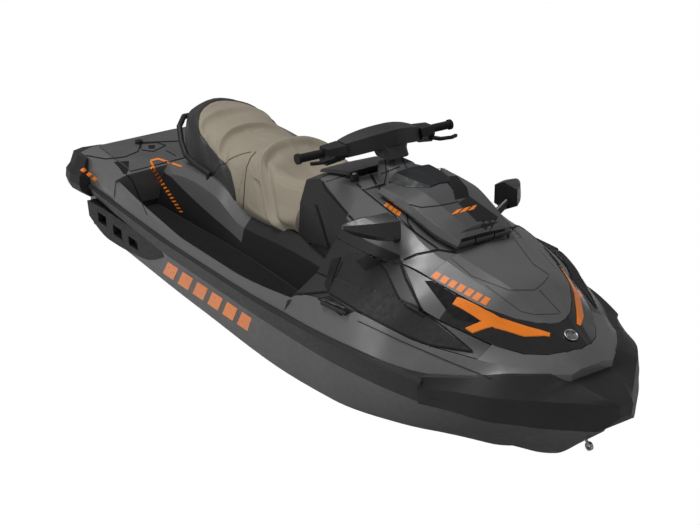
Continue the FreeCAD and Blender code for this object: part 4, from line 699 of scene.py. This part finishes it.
SEAT_LINES = (
    (0.500, (0.150, 0.182, 0.182, 0.160, 0.116, 0.055), (0.575, 0.650, 0.755, 0.840, 0.872, 0.890, 0.896)),
    (0.560, (0.178, 0.208, 0.205, 0.186, 0.142, 0.072), (0.565, 0.650, 0.755, 0.834, 0.868, 0.882, 0.886)),
    (0.660, (0.205, 0.232, 0.226, 0.206, 0.166, 0.090), (0.555, 0.640, 0.738, 0.808, 0.842, 0.858, 0.862)),
    (0.760, (0.215, 0.240, 0.234, 0.212, 0.166, 0.090), (0.545, 0.635, 0.715, 0.780, 0.818, 0.840, 0.846)),
    (0.840, (0.220, 0.245, 0.236, 0.212, 0.163, 0.088), (0.540, 0.630, 0.700, 0.760, 0.796, 0.818, 0.824)),
    (0.950, (0.225, 0.250, 0.240, 0.213, 0.164, 0.090), (0.535, 0.615, 0.686, 0.748, 0.786, 0.808, 0.816)),
    (1.060, (0.230, 0.256, 0.243, 0.213, 0.165, 0.090), (0.528, 0.605, 0.690, 0.752, 0.793, 0.818, 0.828)),
    (1.147, (0.230, 0.260, 0.246, 0.214, 0.167, 0.092), (0.525, 0.600, 0.705, 0.780, 0.822, 0.852, 0.864)),
    (1.210, (0.230, 0.264, 0.247, 0.216, 0.168, 0.092), (0.525, 0.595, 0.710, 0.790, 0.830, 0.858, 0.868)),
    (1.290, (0.230, 0.266, 0.247, 0.214, 0.166, 0.088), (0.527, 0.592, 0.704, 0.780, 0.812, 0.806, 0.798)),
    (1.370, (0.230, 0.268, 0.245, 0.210, 0.160, 0.084), (0.533, 0.594, 0.697, 0.768, 0.792, 0.772, 0.760)),
    (1.480, (0.230, 0.272, 0.240, 0.200, 0.150, 0.080), (0.550, 0.610, 0.690, 0.758, 0.790, 0.784, 0.774)),
    (1.618, (0.228, 0.256, 0.225, 0.185, 0.140, 0.075), (0.570, 0.650, 0.728, 0.785, 0.824, 0.834, 0.838)),
)
SEAT_SPLIT = 1.147
SEAT_GAP = 0.0006
SHELL_EDGE_PIXELS = (
    (262, 88), (243, 90), (228, 95), (218, 99), (210.5, 101.5), (204, 106), (199.8, 112), (197.8, 120),
    (198, 127), (199.9, 134), (204.4, 142),
    (212, 150.5), (220.5, 160.4), (228.6, 171.9), (232.6, 189.1), (236, 210.9), (239.5, 226),
)
SEAT_SEAM_PIXELS = (
    ((209.6, 178.7), (215, 171.5), (223, 162), (232, 156.8), (240, 153.2), (256, 149)),
    ((255, 150.5), (249.2, 157), (245.4, 167), (243.5, 181), (242.3, 200.6), (241.8, 224)),
)
PIXEL_SPAN = 0.0049
STEPS_AROUND = 170


def smooth_value(places, values, place):
    """A smooth curve through values at rising places."""
    last = len(places) - 1
    index = 0
    while index < last - 1 and place > places[index + 1]:
        index += 1
    gap = places[index + 1] - places[index]
    share = (place - places[index]) / gap

    def slope(i):
        low = max(i - 1, 0)
        high = min(i + 1, last)
        return (values[high] - values[low]) / (places[high] - places[low])

    first = values[index]
    second = values[index + 1]
    start = slope(index) * gap
    end = slope(index + 1) * gap
    square = share * share
    cube = square * share
    return (first * (2 * cube - 3 * square + 1) + start * (cube - 2 * square + share)
            + second * (3 * square - 2 * cube) + end * (cube - square))


def seat_profile(x):
    """Half a section: y and z for columns 0 at the centre to 6 at the foot."""
    places = [line[0] for line in SEAT_LINES]
    across = [smooth_value(places, [line[1][i] for line in SEAT_LINES], x) for i in range(6)] + [0.0]
    levels = [smooth_value(places, [line[2][i] for line in SEAT_LINES], x) for i in range(7)]
    return list(reversed(across)), list(reversed(levels))


def bell(distance, width):
    return math.exp(-(distance / width) ** 2)


def seat_relief(x, column):
    """How far the cover's raised rims stand out, and the hollows before them."""
    rim = 1.175 + 0.37 * (column / 6.0) ** 2.0
    out = 0.013 * bell(x - rim, 0.018) - 0.017 * bell(x - rim - 0.052, 0.03)
    if column < 5.0:
        fade = 1.0 - (column / 5.0) ** 2
        step = 0.79 + 0.17 * (column / 4.0) ** 2
        out += 0.014 * fade * bell(x - step, 0.016) - 0.02 * fade * bell(x - step - 0.046, 0.03)
        upper = 0.61 + 0.17 * (column / 4.0) ** 2
        out += 0.009 * fade * bell(x - upper, 0.02) - 0.013 * fade * bell(x - upper - 0.05, 0.032)
    if column > 3.6:
        out -= 0.006 * bell(x - 1.40 - 0.1 * (column - 5), 0.03)
    return out


def photo_pixel(x, y, z):
    """Where a point of the frame lies in the photograph."""
    way = Vector((x, y, z)) - CAMERA_SPOT
    scale = LENS / SENSOR * PHOTO_WIDTH / way.dot(forward)
    return PHOTO_WIDTH / 2 + way.dot(right) * scale, PHOTO_HEIGHT / 2 - way.dot(up) * scale


def line_distance(pixel, line):
    """Distance to a line of pixels, above zero on the right of its course."""
    best = 1e9
    side = 1.0
    for first, second in zip(line, line[1:]):
        run_u = second[0] - first[0]
        run_v = second[1] - first[1]
        off_u = pixel[0] - first[0]
        off_v = pixel[1] - first[1]
        share = (off_u * run_u + off_v * run_v) / (run_u * run_u + run_v * run_v)
        share = min(1.0, max(0.0, share))
        distance = math.hypot(off_u - run_u * share, off_v - run_v * share)
        if distance < best:
            best = distance
            side = 1.0 if run_u * off_v - run_v * off_u < 0 else -1.0
    return best * side


def trim_distance(x, y, z):
    """Above zero on the light cover, below zero on the dark shell."""
    pixel = photo_pixel(x, -abs(y), z - DRAFT)
    return line_distance(pixel, SHELL_EDGE_PIXELS) * PIXEL_SPAN


def seam_distance(x, y, z):
    """Distance from the nearest sewn line of the cover's side."""
    pixel = photo_pixel(x, -abs(y), z - DRAFT)
    return min(abs(line_distance(pixel, line)) for line in SEAT_SEAM_PIXELS) * PIXEL_SPAN


SWELL_PRESSURE = 4.0
SWELL_FRAMES = 20
SWELL_REACH = 0.005
CLOTH_QUALITY = 3
CLOTH_MASS = 0.15
LEAST_HOLD = 0.02
END_HOLD = 0.03


def swell(piece, held, reach, start_x, end_x):
    """Lets the cover swell like filled cloth between its sewn lines, by the reach at most."""
    scene = bpy.context.scene
    spots = [vertex.co.copy() for vertex in piece.data.vertices]
    group = piece.vertex_groups.new(name="sewn")
    for index, share in enumerate(held):
        if share > LEAST_HOLD:
            group.add([index], share, "REPLACE")
    cloth = piece.modifiers.new("filled_cover", "CLOTH")
    cloth.settings.quality = CLOTH_QUALITY
    cloth.settings.mass = CLOTH_MASS
    cloth.settings.use_pressure = True
    cloth.settings.uniform_pressure_force = SWELL_PRESSURE
    cloth.settings.vertex_group_mass = group.name
    cloth.settings.effector_weights.gravity = 0.0
    cloth.point_cache.frame_end = SWELL_FRAMES
    for moment in range(1, SWELL_FRAMES + 1):
        scene.frame_set(moment)
    depsgraph = bpy.context.evaluated_depsgraph_get()
    swollen = [vertex.co.copy() for vertex in piece.evaluated_get(depsgraph).data.vertices]
    piece.modifiers.remove(cloth)
    piece.vertex_groups.remove(group)
    scene.frame_set(1)
    for vertex, start, spot, share in zip(piece.data.vertices, spots, swollen, held):
        step = spot - start
        far = step.length
        if far > 1e-9:
            step *= reach * (1.0 - math.exp(-far / reach)) * (1.0 - share) / far
        step.x *= max(0.0, min(1.0, min(start.x - start_x, end_x - start.x) / END_HOLD))
        vertex.co = start + step
    piece.data.update()


END_ROUND = 0.018
SPLIT_ROUND = 0.004
SLACK = 0.005
COLUMNS = 6.0
HEART_LEVEL = 0.6
SEAM_COLUMN = 1.6
SEAM_FORE = 1.3
FOOT_COLUMN = 4.8
ROUND_DEPTH_SHARE = 0.35
TRIM_PRESS = 0.004
SEAM_PRESS = 0.0035
SEWN_REACH = 0.012


def cushion(name, node, start, end, steps, round_start, round_end):
    """A closed cushion along the craft: shaped, swollen, then its seams pressed in."""
    rings = []
    columns = [float(i) for i in range(7)]
    for step in range(steps + 1):
        x = start + (end - start) * step / steps
        across, levels = seat_profile(x)
        ring = []
        for index in range(STEPS_AROUND + 1):
            turn_share = 2.0 * index / STEPS_AROUND - 1.0
            column = abs(turn_share) * COLUMNS
            y = math.copysign(smooth_value(columns, across, column), turn_share)
            ring.append((x, y, smooth_value(columns, levels, column), column))
        rings.append(ring)
    corners = []
    trims = []
    seams = []
    pressed = []
    held = []
    normals = []
    for step, ring in enumerate(rings):
        before = rings[max(step - 1, 0)]
        after = rings[min(step + 1, steps)]
        for index, (x, y, z, column) in enumerate(ring):
            left = ring[max(index - 1, 0)]
            right_side = ring[min(index + 1, STEPS_AROUND)]
            along = Vector(after[index][:3]) - Vector(before[index][:3])
            around = Vector((0.0, right_side[1] - left[1], right_side[2] - left[2]))
            normal = along.cross(around)
            normal.normalize()
            if normal.dot(Vector((0.0, y, z - HEART_LEVEL))) < 0:
                normal = -normal
            trim = trim_distance(x, y, z)
            seam = 1.0
            if SEAM_COLUMN < column and x < SEAM_FORE:
                seam = seam_distance(x, y, z)
            out = seat_relief(x, column)
            for edge, rounding in ((x - start, round_start), (end - x, round_end)):
                if edge < rounding:
                    fall = 1.0 - edge / rounding
                    out -= rounding * ROUND_DEPTH_SHARE * (1.0 - math.sqrt(1.0 - fall ** 2))
            corners.append(Vector((x, y, z - DRAFT)) + normal * (out - SLACK))
            normals.append(normal)
            pressed.append(TRIM_PRESS * bell(trim, TRIM_PRESS) + SEAM_PRESS * bell(seam, SEAM_PRESS))
            trims.append(trim)
            seams.append(min(abs(trim), seam))
            ends = 0.0
            if round_start == END_ROUND:
                ends = 1.0 - (x - start) / END_HOLD
            if round_end == 0.0:
                ends = 1.0 - (end - x) / END_HOLD
            foot = max(0.0, min(1.0, column - FOOT_COLUMN))
            sewn = max(bell(trim, SEWN_REACH), bell(seam, SEWN_REACH))
            held.append(min(1.0, max(sewn, ends, foot, 0.0)))
    width = STEPS_AROUND + 1
    faces = []
    for step in range(steps):
        for index in range(STEPS_AROUND):
            first = step * width + index
            faces.append([first, first + 1, first + width + 1, first + width])
    faces.append(list(range(width))[::-1])
    faces.append(list(range(steps * width, (steps + 1) * width)))
    for step in range(steps):
        first = step * width
        faces.append([first + width - 1, first, first + width, first + 2 * width - 1])
    piece = mesh_piece(name, corners, faces, SEAT_MATERIAL)
    swell(piece, held, SWELL_REACH, start, end)
    for vertex, normal, depth in zip(piece.data.vertices, normals, pressed):
        vertex.co -= normal * depth
    for key, values in (("trim", trims), ("seam", seams)):
        layer = piece.data.attributes.new(key, "FLOAT", "POINT")
        layer.data.foreach_set("value", values)
    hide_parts(node)
    return piece


seat_shader = leather("seat_upholstery", TAUPE)
trim_mask = seat_shader.below(seat_shader.attribute("trim"), 0.0, 0.0015)
seat_shader.region(trim_mask, (0.03, 0.0295, 0.029), 0.5)
seam_mask = seat_shader.below(seat_shader.attribute("seam"), 0.0022, 0.002)
seat_shader.region(seam_mask, (0.022, 0.019, 0.015), 0.8)
SEAT_MATERIAL = seat_shader.material

REAR_END = SEAT_LINES[0][0] - 0.02
FRONT_END = SEAT_LINES[-1][0] - 0.001
REAR_STEPS = 190
FRONT_STEPS = 140
cushion("rear_cushion", "seat_rear", REAR_END, SEAT_SPLIT - SEAT_GAP, REAR_STEPS, END_ROUND, SPLIT_ROUND)
cushion("front_cushion", "seat_front", SEAT_SPLIT + SEAT_GAP, FRONT_END, FRONT_STEPS, SPLIT_ROUND, 0.0)


# Small pieces on the steering and the nose


def ring_mesh(corners, faces, centre, axis, radius, tube, around=28, steps=8):
    """Adds a torus to the lists."""
    axis = axis.normalized()
    first = axis.orthogonal().normalized()
    second = axis.cross(first)
    base = len(corners)
    for i in range(around):
        angle = 2 * math.pi * i / around
        out = first * math.cos(angle) + second * math.sin(angle)
        for j in range(steps):
            turn_angle = 2 * math.pi * j / steps
            rise = axis * (tube * math.sin(turn_angle))
            corners.append(centre + out * (radius + tube * math.cos(turn_angle)) + rise)
    for i in range(around):
        for j in range(steps):
            a = base + i * steps + j
            b = base + i * steps + (j + 1) % steps
            c = base + ((i + 1) % around) * steps + (j + 1) % steps
            d = base + ((i + 1) % around) * steps + j
            faces.append([a, d, c, b])


def tube_mesh(corners, faces, start, end, radius, around=32, chamfer=0.0):
    """Adds a closed cylinder with a chamfered far end to the lists."""
    axis = (end - start).normalized()
    first = axis.orthogonal().normalized()
    second = axis.cross(first)
    base = len(corners)
    levels = ((start, radius), (end - axis * chamfer, radius), (end, radius - chamfer))
    for centre, r in levels:
        for i in range(around):
            angle = 2 * math.pi * i / around
            corners.append(centre + (first * math.cos(angle) + second * math.sin(angle)) * r)
    for level in range(2):
        for i in range(around):
            a = base + level * around + i
            b = base + level * around + (i + 1) % around
            faces.append([a, b, b + around, a + around])
    faces.append([base + i for i in range(around)][::-1])
    faces.append([base + 2 * around + i for i in range(around)])


grip_low, grip_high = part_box("grips")
GRIP_RADIUS = 0.017
GRIP_LENGTH = 0.118
RIB_START = 0.012
RIB_ENDS = 0.034
RIB_TUBE = 0.0014
RIB_COUNT = 18
bar_centre = (Vector(grip_low) + Vector(grip_high)) / 2
rib_corners = []
rib_faces = []
for side in (1, -1):
    inner = grip_high[1] - GRIP_LENGTH + RIB_START
    for rib in range(RIB_COUNT):
        y = side * (inner + (GRIP_LENGTH - RIB_ENDS) * rib / (RIB_COUNT - 1))
        ring_mesh(rib_corners, rib_faces, Vector((bar_centre.x, y, bar_centre.z)), Vector((0, 1, 0)),
                  GRIP_RADIUS, RIB_TUBE)
mesh_piece("grip_ribs", rib_corners, rib_faces, SHADERS["grip_rubber"].material, "steering")

badge_low, badge_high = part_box("nose_badge")
badge_centre = (Vector(badge_low) + Vector(badge_high)) / 2
BADGE_RINGS = ((0.024, 0.0042), (0.015, 0.001))
BADGE_LIFT = 0.0035
BADGE_STEPS = 48
badge_way = Vector((0.42, 0.0, 0.9)).normalized()
badge_spot = badge_centre + badge_way * BADGE_LIFT
badge_corners = []
badge_faces = []
for radius, tube in BADGE_RINGS:
    ring_mesh(badge_corners, badge_faces, badge_spot, badge_way, radius, tube, BADGE_STEPS)
mesh_piece("badge_rings", badge_corners, badge_faces, SHADERS["badge_metal"].material)

# Safety lanyard post on the console, starboard of the glove box

post_skin = Skin("console", "glove_box_lid", "deck")
POST_PIXEL = (355, 181)
POST_UPRIGHT = 0.6
POST_SUNK = 0.006
POST_HEIGHT = 0.03
POST_RADIUS = 0.017
POST_CHAMFER = 0.004
CAP_TOP = 0.034
CAP_RADIUS = 0.010
CAP_CHAMFER = 0.001
post_spot, post_normal = post_skin.hit(POST_PIXEL, 0.0)
post_way = (post_normal + Vector((0, 0, POST_UPRIGHT))).normalized()
post_foot = post_spot - post_way * POST_SUNK
post_top = post_spot + post_way * POST_HEIGHT
post_corners = []
post_faces = []
tube_mesh(post_corners, post_faces, post_foot, post_top, POST_RADIUS, chamfer=POST_CHAMFER)
mesh_piece("lanyard_post", post_corners, post_faces, black, smooth=False)
cap_corners = []
cap_faces = []
cap_top = post_spot + post_way * CAP_TOP
tube_mesh(cap_corners, cap_faces, post_top, cap_top, CAP_RADIUS, chamfer=CAP_CHAMFER)
mesh_piece("lanyard_cap", cap_corners, cap_faces, SHADERS["badge_metal"].material, smooth=False)

# Gauge screen under its hood

gauge_low, gauge_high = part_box("gauge_display")
SCREEN_DEPTH = 0.022
SCREEN_FOOT = 0.028
SCREEN_HEAD = 0.012
SCREEN_HALF_WIDTHS = (0.085, 0.075, 0.045)
foot_half, shoulder_half, top_half = SCREEN_HALF_WIDTHS
screen_x = gauge_low[0] + SCREEN_DEPTH
screen_low = gauge_low[2] + SCREEN_FOOT
screen_top = gauge_high[2] - SCREEN_HEAD
shoulder = screen_top - SCREEN_HEAD
screen = [
    Vector((screen_x, -foot_half, screen_low)), Vector((screen_x, foot_half, screen_low)),
    Vector((screen_x, shoulder_half, shoulder)), Vector((screen_x, top_half, screen_top)),
    Vector((screen_x, -top_half, screen_top)), Vector((screen_x, -shoulder_half, shoulder)),
]
glass = gloss("screen_glass", (0.004, 0.006, 0.009), 0.45, 0.0)
mesh_piece("gauge_screen", screen, [[5, 4, 3, 2, 1, 0]], glass.material, "front_lid", False)

# Floor, world and lamps

FLOOR_LEVEL = -DRAFT - 0.004


def staged(name, size, spot):
    mesh = bpy.data.meshes.new(name)
    half = size / 2
    corners = [(-half, -half, 0), (half, -half, 0), (half, half, 0), (-half, half, 0)]
    mesh.from_pydata(corners, [], [(0, 1, 2, 3)])
    piece = bpy.data.objects.new(name, mesh)
    piece.location = spot
    bpy.context.scene.collection.objects.link(piece)
    return piece


def for_camera(tree, seen_node, other_node, output):
    """One shader for what the camera sees, another for all other rays."""
    path = tree.nodes.new("ShaderNodeLightPath")
    mix = tree.nodes.new("ShaderNodeMixShader")
    tree.links.new(path.outputs["Is Camera Ray"], mix.inputs[0])
    tree.links.new(other_node, mix.inputs[1])
    tree.links.new(seen_node, mix.inputs[2])
    tree.links.new(mix.outputs[0], output)


floor = staged("floor", 60.0, (1.5, 0.0, FLOOR_LEVEL))
floor_material = bpy.data.materials.new("floor_white")
floor_material.use_nodes = True
floor_tree = floor_material.node_tree
floor_shader = floor_tree.nodes["Principled BSDF"]
floor_shader.inputs["Base Color"].default_value = (0.8, 0.8, 0.8, 1.0)
floor_shader.inputs["Roughness"].default_value = 0.95
floor_shader.inputs["Specular IOR Level"].default_value = 0.0
glow = floor_tree.nodes.new("ShaderNodeEmission")
glow.inputs["Strength"].default_value = 1.0
for_camera(floor_tree, glow.outputs[0], floor_shader.outputs[0],
           floor_tree.nodes["Material Output"].inputs["Surface"])
floor.data.materials.append(floor_material)

world = bpy.data.worlds.new("studio")
bpy.context.scene.world = world
world.use_nodes = True
tree = world.node_tree
dim = tree.nodes["Background"]
dim.inputs["Color"].default_value = (1.0, 1.0, 1.0, 1.0)
dim.inputs["Strength"].default_value = 0.21
bright = tree.nodes.new("ShaderNodeBackground")
bright.inputs["Color"].default_value = (1.0, 1.0, 1.0, 1.0)
bright.inputs["Strength"].default_value = 1.0
for_camera(tree, bright.outputs[0], dim.outputs[0], tree.nodes["World Output"].inputs["Surface"])


def lamp(name, spot, target, size, power):
    data = bpy.data.lights.new(name, "AREA")
    data.shape = "RECTANGLE"
    data.size, data.size_y = size
    data.energy = power
    lamp_object = bpy.data.objects.new(name, data)
    lamp_object.location = spot
    way = Vector(target) - Vector(spot)
    lamp_object.rotation_euler = way.to_track_quat("-Z", "Y").to_euler()
    bpy.context.scene.collection.objects.link(lamp_object)


lamp("overhead", (0.5, -1.5, 5.2), (1.5, 0.0, 0.3), (3.2, 1.6), 165.0)
lamp("side", (0.6, -5.5, 2.4), (1.7, 0.0, 0.2), (4.0, 1.5), 60.0)
lamp("bow", (6.5, 1.5, 3.4), (2.2, 0.0, 0.3), (2.0, 2.0), 30.0)

bpy.context.scene.view_settings.view_transform = "Standard"
